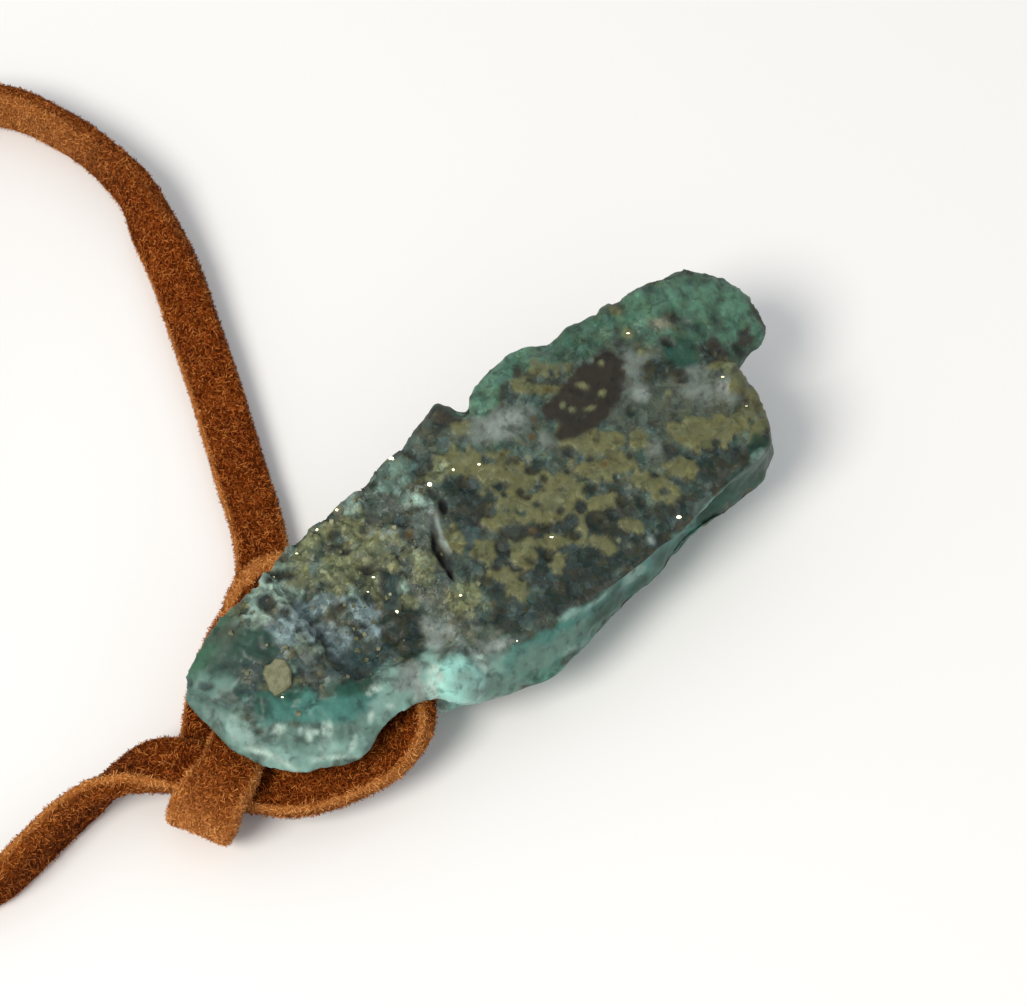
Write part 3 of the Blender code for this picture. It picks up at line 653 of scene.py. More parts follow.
# Patches of mineral as the camera sees them, later ones over earlier ones. Each spot is across and up from
# the middle of the view, its two half sizes, all in mm, and its tilt in degrees where it has one.
patches = [
    ("rock", "blackRock", [  # dark rock along the near edge
        (3.4, -4.5, 4.12, 0.93, 32), (-0.3, -6.6, 1.43, 0.82, 12), (2.6, -2.3, 4.95, 2.09, 25),
        (-2.4, -0.1, 1.65, 2.2),
    ]),
    ("rock", "blackRock", [  # dark green rock
        (3, -1.3, 0.55, 0.82), (5.7, 0, 0.49, 1.43), (11.1, 2.2, 1.32, 1.1, 20),
        (8.5, -0.5, 1.43, 0.55, 25), (7.5, -2.3, 1.92, 0.55, 32), (2.1, -3, 0.77, 0.55),
        (9.7, 0.1, 1.21, 0.44, 35), (4.8, -3.2, 1.1, 0.55, 20),
    ]),
    ("rock", "greyRock", [  # grey rock
        (7, 5.6, 2.47, 1.37, 10), (10.2, 5.9, 2.2, 1.1, -10), (2.6, 3, 1.43, 0.44),
        (7.8, 2.9, 0.66, 0.99), (-2.4, -7.6, 1.98, 0.77), (-4, -5.4, 0.88, 1.65),
        (-4.9, -1.2, 0.82, 0.71), (7, 8.7, 2.2, 0.99, 10),
    ]),
    ("grain", "greyRock", [  # granular end
        (-10.1, -4.8, 3.85, 2.2, 25), (-6.2, -1, 2.75, 2.75, 40), (-9, -2.1, 2.75, 1.37, 30),
        (-5.1, -5.4, 2.2, 2.2),
    ]),
    ("rock", "blackRock", [  # dark rock by the crack
        (-6.2, -7.1, 1.48, 1.65, -20), (-6.9, -4.5, 0.55, 1.54, 10), (-10.2, -7.5, 0.99, 0.38, 15),
        (-5.6, -5.7, 0.88, 0.66), (-3.8, -0.3, 0.33, 0.6), (-2.9, 1, 0.66, 0.49),
    ]),
    ("rock", "tealRock", [  # dark teal rock
        (-8.9, -8.8, 1.54, 0.99, 10), (-7.8, -8.4, 1.1, 0.99), (-11.1, -8.9, 1.1, 0.49),
        (-6.5, -4.8, 0.44, 0.99), (-2.4, -1.8, 0.77, 0.66),
    ]),
    ("grain", "blueGrain", [  # blue-grey crystals
        (-11.6, -6.2, 1.32, 0.71, 15), (-12.7, -7.2, 1.1, 0.71, -20), (-13, -8.1, 0.55, 0.49),
        (-10.7, -7, 0.82, 0.49, 15), (-9.1, -5.7, 1.1, 0.44, 10), (-9.6, -7.7, 0.55, 0.66),
        (-8.1, -6.2, 0.66, 0.55), (-7.8, -7.1, 0.49, 0.44), (-10.2, -5.4, 0.55, 0.33),
    ]),
    ("grain", "paleGrain", [  # pale green crystals
        (-14.1, -5.4, 0.55, 1.1, 10), (-13.8, -4.6, 0.77, 0.44, 20), (-12.4, -4.8, 0.77, 0.6),
        (-14.3, -6.5, 0.44, 0.49), (-11.2, -3.6, 0.38, 0.44), (-8.8, -0.3, 0.38, 0.6),
        (-10.4, -3.5, 0.22, 0.38, -20), (-8.9, -4.4, 0.22, 0.66), (-5.4, 0.1, 0.77, 0.44, -20),
        (-6, -4.6, 0.22, 0.33),
    ]),
    ("sugar", "softEmerald", [  # green lump at the rim
        (-6.7, 1.3, 0.77, 0.88, 20), (-5.9, 1.9, 0.55, 0.44),
    ]),
    ("grain", "greyGrain", [  # grey by the crack
        (-4.9, -1.5, 0.77, 0.88), (-6.7, -1.6, 0.88, 0.33, 15), (-6.9, -0.1, 0.49, 0.44),
        (-4.5, -5.4, 0.77, 0.55), (-4, -6.7, 0.77, 0.66), (-3.2, -7.2, 0.66, 0.44),
        (-2.4, -8.1, 1.1, 0.44),
    ]),
    ("emerald", "darkEmerald", [  # the tip's dark face
        (-15.9, -9.1, 2.53, 2.09, 10), (-14.5, -8.4, 1.65, 1.43, 30), (-16.4, -7.8, 1.43, 1.1, 45),
        (-17, -10.3, 1.21, 1.1),
    ]),
    ("emerald", "darkEmerald", [  # dark teal at the tip
        (-14.4, -8.2, 1.21, 0.77, 25), (-13.8, -7.6, 0.55, 0.44), (-15.1, -8.7, 0.99, 0.44),
    ]),
    ("emerald", "greyRock", [  # brownish film
        (-15.9, -7.2, 0.93, 0.55, 45), (-16.5, -8.1, 0.55, 0.38, 45),
    ]),
    ("emerald", "midEmerald", [  # the tip's pale edge
        (-17.3, -8.8, 1.32, 0.44, 45), (-17.8, -9.6, 0.49, 0.55), (-16, -6.6, 0.77, 0.16, 48),
    ]),
    ("emerald", "softEmerald", [  # the tip's face
        (-17.1, -10.3, 0.99, 0.77), (-17.4, -11.1, 0.66, 0.38, -45), (-16, -10, 0.55, 0.44),
    ]),
    ("grain", "tealRock", [  # specks beside the crystal
        (-14.5, -9.4, 0.49, 0.49), (-14.4, -10.3, 0.33, 0.66), (-13.8, -11.1, 0.44, 0.44),
        (-14, -8.9, 0.33, 0.27),
    ]),
    ("hole", "tealRock", [  # dark specks beside the crystal
        (-14.9, -10.3, 0.27, 0.16), (-14.7, -8.9, 0.22, 0.22), (-16, -11.1, 0.44, 0.11, -20),
        (-17.8, -9.9, 0.16, 0.22), (-16.9, -10.1, 0.38, 0.22),
    ]),
    ("emerald", "emerald", [  # saturated band
        (-11.5, -11.3, 2.86, 0.82), (-8.7, -11, 1.87, 0.77, 5), (-10.1, -11.7, 2.42, 0.66),
        (-13.4, -11.5, 0.88, 0.88),
    ]),
    ("emerald", "deepEmerald", [  # deep green
        (-8.9, -10.2, 1.32, 0.44, 5), (-12.2, -10.6, 0.99, 0.44), (-13.8, -11.3, 0.44, 0.66),
        (-7.8, -9.8, 0.55, 0.33, 30),
    ]),
    ("emerald", "emerald", [  # light in the band
        (-10.2, -11.3, 1.32, 0.44), (-11.1, -10.9, 0.55, 0.44), (-9, -11.5, 0.66, 0.33),
    ]),
    ("emerald", "softEmerald", [  # pale lip left of the groove
        (-15.5, -12.5, 1.76, 0.71, -43), (-16.7, -11.6, 0.77, 0.38, -35), (-14.5, -13.5, 0.66, 0.55, -30),
    ]),
    ("emerald", "paleEmerald", [  # light in the pale lip
        (-15, -12.7, 0.88, 0.49, -35),
    ]),
    ("emerald", "softEmerald", [  # lower lip
        (-11.7, -13.5, 2.64, 1.1), (-9.3, -13.2, 1.76, 0.99, 10), (-7.8, -12.4, 0.88, 0.88, 40),
        (-12.8, -12.9, 1.21, 0.66),
    ]),
    ("seam", "softEmerald", [  # hollow in the lip
        (-12.4, -12.9, 1.1, 0.44, 5), (-9, -12.5, 0.66, 0.44), (-9.8, -12.4, 0.33, 0.22),
    ]),
    ("emerald", "paleEmerald", [  # pale edge of the lip
        (-11.7, -14.3, 1.43, 0.44), (-12.7, -13.7, 0.88, 0.44, -25), (-8.7, -13.4, 0.55, 0.66, 20),
        (-10.4, -13.5, 0.77, 0.33),
    ]),
    ("emerald", "paleEmerald", [  # right end of the lip
        (-6.5, -10.9, 0.88, 0.99, 10), (-7.4, -11.3, 0.55, 0.66), (-5.8, -10.4, 0.55, 0.66),
    ]),
    ("lump", "paleEmerald", [  # green bead
        (-6.7, -9.6, 0.66, 0.6),
    ]),
    ("frost", "frost", [  # white specks
        (-12.9, -12.5, 0.38, 0.22, 20), (-13, -12.3, 0.16, 0.16), (-11.2, -12.7, 0.16, 0.38, 10),
        (-10.9, -12.6, 0.22, 0.16), (-10.4, -12.4, 0.16, 0.27), (-10.1, -12.4, 0.16, 0.38),
        (-7.8, -11.7, 0.16, 0.33, -15), (-7.6, -10.2, 0.27, 0.22), (-7.9, -10.5, 0.16, 0.11),
        (-8.8, -13.3, 0.16, 0.49, -15), (-6.7, -11.2, 0.22, 0.16), (-11.7, -12.5, 0.11, 0.16),
    ]),
    ("frost", "frost", [  # white rim of the lip
        (-14, -13.7, 0.55, 0.14, -15), (-13.3, -13.9, 0.44, 0.14, -40), (-12.4, -14.4, 0.44, 0.11, -35),
        (-9.8, -14, 0.77, 0.09, 3), (-10.7, -14.1, 0.33, 0.09, 20),
    ]),
    ("quartz", "quartz", [  # mauve quartz by the knob
        (-5.6, -9.3, 0.77, 0.44, 15), (-6, -10, 0.49, 0.33), (-4.3, -7.6, 0.49, 0.77),
        (-4.7, -6.7, 0.33, 0.38), (-0.7, -7.9, 1.21, 0.33, 15), (-3.7, -7.1, 0.49, 0.27),
        (-5.2, -10.2, 0.44, 0.77),
    ]),
    ("emerald", "paleEmerald", [  # beside the knob
        (-0.5, -9.1, 1.87, 0.99, 18), (-1.7, -10.3, 1.1, 0.77, 20), (-4.6, -9.1, 0.55, 0.77),
    ]),
    ("lump", "brightEmerald", [  # knob
        (-3.2, -10, 1.43, 1.48),
    ]),
    ("emerald", "brightEmerald", [  # light in the knob
        (-3.4, -9.3, 0.66, 0.49), (-3.7, -10.3, 0.55, 0.44), (-2.9, -10.7, 0.77, 0.33, 20),
    ]),
    ("emerald", "paleEmerald", [  # green in the knob
        (-2.7, -9.6, 0.49, 0.33, 20), (-3.2, -10, 0.27, 0.16), (-2.4, -10.4, 0.38, 0.49),
    ]),
    ("frost", "frost", [  # white rim of the knob
        (-4.4, -9.2, 0.38, 0.27, 30), (-4.4, -10.4, 0.27, 0.66, 12), (-3.9, -11.2, 0.49, 0.33, -40),
        (-3.2, -11.5, 0.66, 0.22, -8), (-1.8, -8.8, 0.27, 0.49, 30), (-4, -9.6, 0.22, 0.27),
        (-4.5, -10, 0.22, 0.38),
    ]),
    ("brass", "brass", [  # brass plates
        (2.6, 0.5, 1.43, 1.15), (4.5, 1.9, 1.04, 0.6), (5.9, 2.2, 0.77, 0.6),
        (7.5, 1, 1.26, 0.55, -22), (8.5, 0.5, 0.66, 0.44), (9.3, 2, 0.77, 0.49),
        (4.8, 0, 0.77, 0.38), (3.8, -1.4, 0.27, 0.88), (4.8, -2.1, 0.71, 0.27),
        (6.6, -1.2, 0.55, 0.33), (-0.3, 1.3, 1.81, 0.93), (-0.6, -0.9, 1.15, 0.55),
        (0.2, 0, 0.99, 0.6), (-2.9, 2.1, 1.15, 0.71), (0.6, -2.8, 0.71, 0.77),
        (-1.6, -2.7, 0.6, 0.44), (-0.1, -4.3, 1.21, 0.49, -40), (2.4, -3.5, 0.44, 0.49),
        (2.3, -2.1, 0.82, 0.38), (-3.2, -2.1, 0.49, 0.6), (1.7, -0.7, 0.77, 0.49),
        (4.1, 3.2, 0.99, 0.66), (10.2, 3.8, 1.59, 0.77), (11.3, 4.1, 0.88, 0.49),
        (5.3, 3.4, 0.77, 0.44), (1.9, 7.6, 1.1, 0.49), (0.4, 6.5, 0.49, 0.38),
        (2, 6.2, 1.21, 0.22, -5), (-2.9, 4.1, 0.55, 0.49), (2.8, 4, 0.55, 0.55),
        (7, 3.4, 0.55, 0.44), (-0.3, -2.3, 0.38, 0.27), (0.9, -2.9, 0.44, 0.33, 20),
        (-1.4, -2.9, 0.33, 0.27), (5.3, -2.4, 0.44, 0.27), (-0.9, 2.6, 0.55, 0.33),
    ]),
    ("ore", "oliveBrass", [  # olive brass
        (-8.9, -2.9, 1.87, 0.82, 22), (-10.5, -1.7, 1.21, 0.38, 32), (-8, -2.3, 1.43, 0.66, 10),
        (-11.7, -3.2, 0.66, 0.49), (-6.7, -3.2, 0.66, 0.49), (-7.8, -4.7, 0.49, 0.66),
        (-2.8, -5.2, 0.82, 0.82), (-4.9, -3.2, 0.66, 0.49), (-5.2, -4, 0.55, 0.55),
        (-8.7, -1, 0.77, 0.49, 30), (-4.3, 1.8, 0.77, 0.49, 40), (-9.3, -4.1, 0.88, 0.49),
        (-11.8, -4.3, 0.55, 0.49), (-9.8, -4.8, 0.66, 0.27), (-5.7, -5.4, 0.44, 0.27),
        (-3.2, -2.1, 0.33, 0.27),
    ]),
    ("brass", "brass", [  # stripes at the corner
        (12.9, 5, 0.22, 1.1, -12), (13.4, 4.5, 0.16, 0.77, -20), (12.3, 4.3, 0.33, 0.55),
    ]),
    ("hole", "gap", [  # gaps in the brass
        (-2.4, 1, 0.71, 0.38), (-0.7, 0.9, 0.49, 0.22), (0.4, 0.5, 0.27, 0.27),
        (-1.3, -0.5, 0.38, 0.27, 15), (1, 1.8, 0.38, 0.27), (3, 1.7, 0.22, 0.16),
        (1.3, -0.1, 0.22, 0.16), (0.1, -1.6, 0.82, 0.38), (-0.6, -2.4, 0.38, 0.44),
        (4.5, -1, 0.6, 0.49), (4.3, 0.7, 0.44, 0.33), (0.5, -4.1, 0.22, 0.22),
        (3.7, -0.2, 0.27, 0.33), (3.1, 2.8, 0.38, 0.27), (8.3, 0.6, 0.27, 0.16),
        (6.5, 5, 0.33, 0.27), (1.7, 1.3, 0.22, 0.22), (11.1, 3.3, 0.27, 0.22),
        (4.8, -1.2, 0.44, 0.33), (5.4, -0.5, 0.33, 0.27), (3.4, -1.8, 0.33, 0.22),
        (1.9, -1.2, 0.33, 0.16), (6, 0.1, 0.33, 0.27), (2.6, -0.4, 0.22, 0.22),
        (1.5, 0.9, 0.16, 0.16), (0.8, 0.3, 0.16, 0.16), (-1.7, -0.5, 0.33, 0.16),
        (-0.5, 0.5, 0.16, 0.16), (7, 0.1, 0.27, 0.22), (7.8, 1.5, 0.27, 0.16),
        (4.2, 2.4, 0.27, 0.16), (1, -3.2, 0.27, 0.22), (-0.9, -3.5, 0.27, 0.22),
        (1.9, -2.9, 0.27, 0.33), (8.7, 2.9, 0.44, 0.38), (9.7, 2.6, 0.33, 0.27),
        (6.4, 2.6, 0.22, 0.22),
    ]),
    ("hole", "gap", [  # dark gaps
        (-13.6, -5.5, 0.49, 0.44), (-12.6, -6.1, 0.33, 0.22), (-12.6, -4, 0.55, 0.27, -20),
        (-13.5, -4.3, 0.27, 0.16), (-9.6, -5.9, 0.55, 0.33, 10), (-9.9, -1.8, 0.33, 0.27),
        (-7.8, 1, 0.22, 0.22), (-8.1, -3.7, 0.44, 0.27), (-8, -5.2, 0.38, 0.27, -30),
        (-9.2, -2.7, 0.38, 0.16, 10), (-6.1, -1.1, 0.44, 0.33), (-5.1, -0.3, 0.77, 0.16, 5),
        (-4.5, 0.5, 0.38, 0.27, -50), (-4.2, -2.1, 0.22, 0.49), (-3.7, -2.9, 0.22, 0.66, 25),
        (-3.4, -3.8, 0.11, 0.44, 20), (-5.1, 1.7, 0.33, 0.27), (-4.6, 2, 0.22, 0.38),
        (-8.9, -5.4, 0.27, 0.22), (-4, -2.5, 0.16, 0.77, 20), (-3.5, -3.7, 0.14, 0.55, 22),
        (-4.3, -1.4, 0.11, 0.44, 10),
    ]),
    ("quartz", "dullQuartz", [  # white quartz
        (-0.7, 4.3, 1.87, 0.82, 18), (11.9, 6.1, 0.99, 0.66), (6.8, 6.2, 0.66, 0.49),
        (6.6, 7.6, 0.99, 0.66), (8.2, 9.8, 0.6, 0.22, -10), (7.8, 2.9, 0.38, 0.49),
        (1.8, 3.4, 0.44, 0.44, 20), (10.2, 6.1, 1.1, 0.49, -15), (9.7, 7.2, 0.77, 0.38),
        (-1.6, 5.1, 0.88, 0.66, 20),
    ]),
    ("quartz", "quartz", [  # light in the quartz
        (-0.3, 4.5, 0.99, 0.44, 10), (-0.7, 3.8, 0.55, 0.22), (7, 5.9, 0.33, 0.27),
    ]),
    ("frost", "quartz", [  # white ridge
        (-4.2, -1, 0.11, 0.44, 8), (-4, -1.7, 0.11, 0.44, 20), (-3.8, -2.3, 0.14, 0.44, 35),
        (-4.5, -0.4, 0.22, 0.22), (7.6, -2, 0.16, 0.27, 30), (-6.7, -1.7, 0.44, 0.11, 15),
        (-7.8, -1.7, 0.27, 0.11, 40),
    ]),
    ("crack", "black", [  # crack
        (-4.4, -2.1, 0.14, 0.71, 8), (-4, -3, 0.19, 0.66, 25), (-3.5, -3.8, 0.14, 0.49, 25),
        (-3.9, -0.2, 0.25, 0.44, 10),
    ]),
    ("sugar", "greenRim", [  # far rim
        (-1.8, 6, 1.21, 1.1, 40), (-2.4, 5.4, 0.77, 0.55, 20),
    ]),
    ("sugar", "greenRim", [  # green far rim
        (-0.1, 7.7, 1.21, 0.71, 32), (0.8, 8.4, 0.77, 0.44, 25),
    ]),
    ("sugar", "midEmerald", [  # green strip
        (3.2, 8.8, 1.87, 0.93, 30), (4.8, 9.8, 1.32, 0.77, 30), (4.2, 8.4, 0.88, 0.44, 20),
    ]),
    ("sugar", "midEmerald", [  # head
        (9.7, 10.5, 3.19, 1.87), (7.5, 10.5, 1.98, 1.21, 30), (12.2, 9.8, 1.76, 1.87, -40),
        (8.3, 9.2, 1.32, 0.66),
    ]),
    ("lump", "greenRim", [  # lumps of the head
        (10.5, 11, 1.1, 0.82), (12.2, 10.9, 0.93, 0.82, -20), (8.4, 11.1, 0.88, 0.66, 20),
        (11.6, 9.2, 0.66, 0.55), (7, 10, 0.66, 0.49), (9.6, 12, 0.77, 0.33),
        (13.1, 9.5, 0.49, 0.66), (6.7, 11.1, 0.55, 0.44, 30),
    ]),
    ("seam", "darkEmerald", [  # dark seams in the head
        (9.7, 12.1, 0.44, 0.22), (11.1, 10.1, 0.27, 0.88, 20), (9.7, 9.7, 1.32, 0.22, -20),
        (7.5, 11.7, 0.22, 0.77, 60), (6.5, 9.2, 0.55, 0.33),
    ]),
    ("seam", "deepEmerald", [  # dark teal square
        (9.3, 8.3, 0.99, 0.93, 10),
    ]),
    ("sugar", "blackRock", [  # dark green spots
        (7.8, 7.2, 0.77, 0.55, 30), (11, 8.4, 0.22, 0.33), (2.6, 4.5, 0.22, 0.27),
    ]),
    ("brown", "brownMica", [  # smooth brown
        (5.1, 7.5, 0.88, 0.88), (4.6, 6.5, 1.32, 0.99, 30), (3.7, 5.9, 1.54, 0.88, 20),
        (3.2, 5.1, 1.21, 0.77, 15), (5.4, 6.8, 0.66, 1.21), (2.3, 5, 0.66, 0.55),
        (4.2, 7.2, 0.77, 0.55, 30), (4.6, 5.1, 0.71, 0.82), (3.8, 4.4, 0.93, 0.44, 10),
        (5.1, 5.9, 0.55, 0.66), (3.1, 3.9, 0.99, 0.44, 10),
    ]),
    ("blot", "brownMica", [  # brown blots
        (11.1, 8.4, 0.77, 0.49, -35), (12.7, 8.9, 0.49, 0.55), (13.5, 10.1, 0.22, 1.1, 38),
        (9.2, 7, 0.44, 0.38), (12.5, 5.5, 0.22, 0.6), (8.3, 8.9, 0.38, 0.22),
        (0.2, 7.2, 0.33, 0.33), (-0.6, 5.9, 0.16, 0.49), (13.1, 7.7, 0.44, 0.27, 40),
        (5.6, 10.5, 0.44, 0.27, 20), (8.7, 10.2, 0.66, 0.22, -20), (-3.9, 4.6, 0.88, 0.38),
    ]),
    ("quartz", "sand", [  # beige spot
        (8.1, 9.8, 0.49, 0.22),
    ]),
    ("brass", "brass", [  # brown edge of the slab
        (11.5, 7.3, 0.71, 0.49, -30), (12.3, 6.4, 0.38, 0.6, 30), (13, 5.4, 0.44, 0.82, -20),
        (13.7, 4.3, 0.38, 0.66, -30),
    ]),
    ("blot", "brownMica", [  # brown marks at the edge
        (12.7, 5.6, 0.14, 0.6, 15), (11, 7.7, 0.38, 0.22, -20), (13.4, 5, 0.11, 0.49, 25),
        (12, 6.8, 0.27, 0.16),
    ]),
    ("hole", "gap", [  # cleft under the head
        (12.3, 8.4, 0.49, 0.22, -45), (8.5, 8.8, 0.27, 0.16),
    ]),
    ("brown", "rust", [  # rusty spots
        (1.1, 4.6, 0.14, 0.16), (1, 3.6, 0.22, 0.16), (1.1, -1.5, 0.22, 0.16),
        (5, 2.1, 0.22, 0.16), (-5.8, -1.8, 0.27, 0.25), (1.8, 6.2, 0.14, 0.14),
    ]),
    ("brass", "oliveBrass", [  # brass specks in the brown
        (3.8, 6.4, 0.22, 0.11, -20), (4.9, 6, 0.16, 0.11, 20), (4.2, 5.2, 0.22, 0.09, 15),
        (3.2, 5.1, 0.13, 0.11), (2.7, 5.3, 0.11, 0.11), (4.8, 7.7, 0.11, 0.11),
        (6.3, 9.3, 0.27, 0.22), (5.6, 10.4, 0.22, 0.22), (11.5, 7, 0.22, 0.22),
        (7, 8.3, 0.22, 0.16), (8.5, 6, 0.16, 0.16),
    ]),
    ("rock", "brownMica", [  # grey-brown rim
        (13.1, 2.8, 1.43, 0.33, 48), (11.2, 0.8, 1.43, 0.33, 48), (9.4, -1.3, 1.43, 0.33, 45),
        (7.4, -3.3, 1.32, 0.33, 35), (5.4, -4.4, 1.43, 0.27, 32), (3.4, -5.6, 1.21, 0.27, 30),
        (0.8, -7.6, 1.87, 0.27, 24),
    ]),
    ("emerald", "bottleGreen", [  # near side, right
        (13.8, 2.3, 0.88, 1.21), (12.6, 1, 1.43, 0.77, 52), (11.1, -1, 1.54, 0.66, 52),
    ]),
    ("emerald", "emerald", [  # near side, middle
        (9.4, -2.5, 1.65, 0.66, 45), (7.8, -4, 1.65, 0.71, 42), (5.9, -5.4, 1.87, 0.82, 36),
        (3.7, -6.9, 1.98, 0.88, 33), (1.2, -8.4, 1.98, 0.99, 28),
    ]),
    ("emerald", "softEmerald", [  # pale near side
        (1.2, -8.5, 1.43, 0.71, 28), (4.1, -6.9, 0.88, 0.49, 33), (2.8, -7.7, 0.88, 0.49, 30),
        (-0.7, -10, 1.21, 0.55, 22),
    ]),
    ("emerald", "deepEmerald", [  # green shade
        (5.4, -6.1, 1.32, 0.44, 33), (7.5, -4.8, 1.1, 0.33, 38), (8.8, -3.5, 0.77, 0.33, 44),
        (12.2, -0.1, 1.21, 0.27, 50), (12.7, 1.2, 1.1, 0.27, 50), (6, -5, 0.49, 0.27, 30),
        (3.4, -8.4, 0.77, 0.22, 30),
    ]),
    ("frost", "paleEmerald", [  # pale streaks
        (10.7, -0.4, 1.1, 0.22, 50), (9.8, -1.5, 0.44, 0.22, 45), (7, -4.3, 0.77, 0.33, 40),
        (13.4, 2.6, 0.44, 0.22, 40), (3.2, -6.1, 0.66, 0.27, 25), (4.8, -5.5, 0.88, 0.14, 30),
        (3.4, -8, 0.66, 0.16, 25),
    ]),
]


def cloudAt(points, size, seed, octaves=2):
    offset = Vector((seed * 3.7, seed * 1.9, seed * 5.3))
    return np.array([noise.fractal(Vector(p) / size + offset, 1.0, 2.0, octaves) for p in points])


def grainsAt(points, size):
    # height: 0 in the joints between grains, larger in their middles, each with its top tilted its own way;
    # pick: a random number for each grain
    height, pick = np.empty(len(points)), np.empty(len(points))
    for i, p in enumerate(points):
        distances, centres = noise.voronoi(Vector(p) / size)
        lean = noise.cell_vector(centres[0] * 31.7)
        height[i] = distances[1] - distances[0] + 0.8 * lean.dot(Vector(p) / size - centres[0])
        pick[i] = lean.x
    return height, pick


def blend(a, b, amount):
    amount = np.asarray(amount)[:, None] if np.ndim(a) > 1 or np.ndim(b) > 1 or np.size(b) == 3 else amount
    return a + (b - a) * amount


def shade(hexColour):
    return np.array(linear(hexColour)[:3])


def fineStone():
    cadStone = bpy.data.objects["emerald_stone"]
    bm = bmesh.new()
    bm.from_mesh(cadStone.data)
    bmesh.ops.remove_doubles(bm, verts=bm.verts, dist=1e-6)
    helper = addObject("stoneHelper", meshFrom(bm, "stoneBlank"))
    remesh = helper.modifiers.new("even facets", "REMESH")
    remesh.mode = "VOXEL"
    remesh.voxel_size = stone["mesh"] * mm
    soften = helper.modifiers.new("soften", "SMOOTH")
    soften.iterations = 2
    fine = bakeModifiers(helper)
    bpy.data.objects.remove(helper)
    fine.name = "emeraldSkin"
    return fine


def ground(points, normals, rough, grains, pick, clouds):
    # what lies between the patches: dark rock on top, green emerald low down and on the far side
    coarse, blob, fine = clouds
    rock = blend(shade("#2b3634"), shade("#4a5a56"), smoothStep(-0.25, 0.35, blob + 0.5 * coarse))
    rock = blend(rock, shade("#33504a"), smoothStep(0.0, 0.3, coarse))
    mixed = np.zeros_like(points)
    palette = ("#2f3a3a", "#46565a", "#5f7074", "#7b8c8a", "#6c6c50", "#8aa79e", "#39494a")
    choice = np.floor((pick * 0.5 + 0.5) % 1.0 * len(palette)).astype(int)
    for k, hexColour in enumerate(palette):
        mixed[choice == k] = shade(hexColour)
    mixed = blend(shade("#2b3335"), mixed, smoothStep(0.02, 0.22, grains))
    rock = blend(rock, mixed, 0.25 + 0.65 * rough)
    green = blend(shade("#2f655c"), shade("#68a096"), smoothStep(-0.4, 0.5, blob + 0.4 * fine))
    low = smoothStep(6.0, 4.6, points[:, 2] + 0.8 * coarse) * smoothStep(0.75, 0.35, normals[:, 2])
    patchy = smoothStep(-0.25, 0.05, coarse + 0.25 * blob - 0.3 * (points[:, 1] > 2.0))
    return blend(rock, green, low * patchy) * np.array(stone["warmth"]), low * patchy


def carveStone(mesh):
    shiftXyz = np.array(shift)
    framePoints = pointsOf(mesh) / mm
    points = framePoints - shiftXyz
    normals = normalsOf(mesh)
    x, y, z = points.T
    coarse, blob, fine = cloudAt(points, 1.9, 1, 3), cloudAt(points, 0.75, 2), cloudAt(points, 0.33, 4, 1)
    grains, pick = grainsAt(points, stone["grain"])
    rough = (1.0 - smoothStep(-5.0, -3.0, x)) * smoothStep(-17.0, -15.0, x) * smoothStep(-4.3, -2.8, y)
    head = smoothStep(11.0, 13.0, x) * smoothStep(0.5, 2.0, y)

    across, up = asSeen(framePoints)
    facing = smoothStep(-0.05, 0.25, towardsCamera(normals))
    colour, wax = ground(points, normals, rough, grains, pick, (coarse, blob, fine))
    finish = {
        "metal": np.zeros(len(points)), "wax": 0.3 * wax,
        "rough": np.full(len(points), 0.55), "even": 0.35 - 0.15 * rough + 0.5 * wax,
    }
    height = stone["ripple"] * coarse + 0.05 * blob * (0.6 + rough) + 0.02 * fine
    farSide = smoothStep(3.0, 4.5, y) * smoothStep(8.3, 7.6, z)
    height += stone["grainHeight"] * (rough + 0.5 * head + 0.6 * farSide) * (grains - 0.35)
    uneven = 0.75 * blob + 0.45 * fine
    for kind, colourName, spots in patches:
        mineral = minerals[kind]
        ragged, grown, soft, stands = mineral["shape"]
        inside = np.full(len(points), -9.0)
        for atX, atY, halfA, halfB, *tilt in spots:
            turn = math.radians(tilt[0]) if tilt else 0.0
            c, s = math.cos(turn), math.sin(turn)
            p = ((across - atX) * c + (up - atY) * s) / halfA
            q = ((up - atY) * c - (across - atX) * s) / halfB
            size = min(halfA, halfB)
            small = min(1.0, size / 0.6)
            edge = (1.0 - np.sqrt(p * p + q * q)) * size + (ragged * uneven + grown) * small
            inside = np.maximum(inside, edge)
        mask = smoothStep(-soft, soft, inside) * facing
        mottle = (0.9 - 0.7 * mineral["even"]) * (0.4 * blob + 0.4 * fine)
        tone = shade(stoneColours[colourName]) * (1.0 + mottle)[:, None]
        colour = blend(colour, tone, mask)
        for channel in finish:
            finish[channel] = blend(finish[channel], mineral[channel], mask)
        height += stone["relief"] * stands * mask

    for atX, atY, radius, amount in bulges:
        lump = np.exp(-((across - atX) ** 2 + (up - atY) ** 2) / radius**2)
        height += amount * lump * smoothStep(1.5, 3.0, z)
    lowSide = smoothStep(7.4, 6.2, z) * smoothStep(-4.0, -5.0, y)
    for along, spread, depth in hollows:
        height -= depth * np.exp(-(((x - along) / spread) ** 2)) * lowSide
    flat = smoothStep(0.05, 0.8, z)  # the resting face stays as it is
    hole = smoothStep(2.0, 2.5, np.hypot(x - holeX, z - holeZ))  # so does the wall of the drilled hole
    framePoints += normals * (height * flat * hole)[:, None]
    mesh.vertices.foreach_set("co", (framePoints * mm).ravel())
    mesh.update()
    layer = mesh.color_attributes.new("mineral", "FLOAT_COLOR", "POINT")
    rgba = np.concatenate([np.clip(colour, 0.0, 1.0), np.ones((len(points), 1))], axis=1)
    layer.data.foreach_set("color", rgba.astype(np.float32).ravel())
    for channel, values in finish.items():
        setAttribute(mesh, channel, values)
    shiny = facing * (0.25 * rough + smoothStep(0.25, 0.45, finish["metal"]))
    setAttribute(mesh, "grit", shiny * smoothStep(-0.1, 0.3, blob))


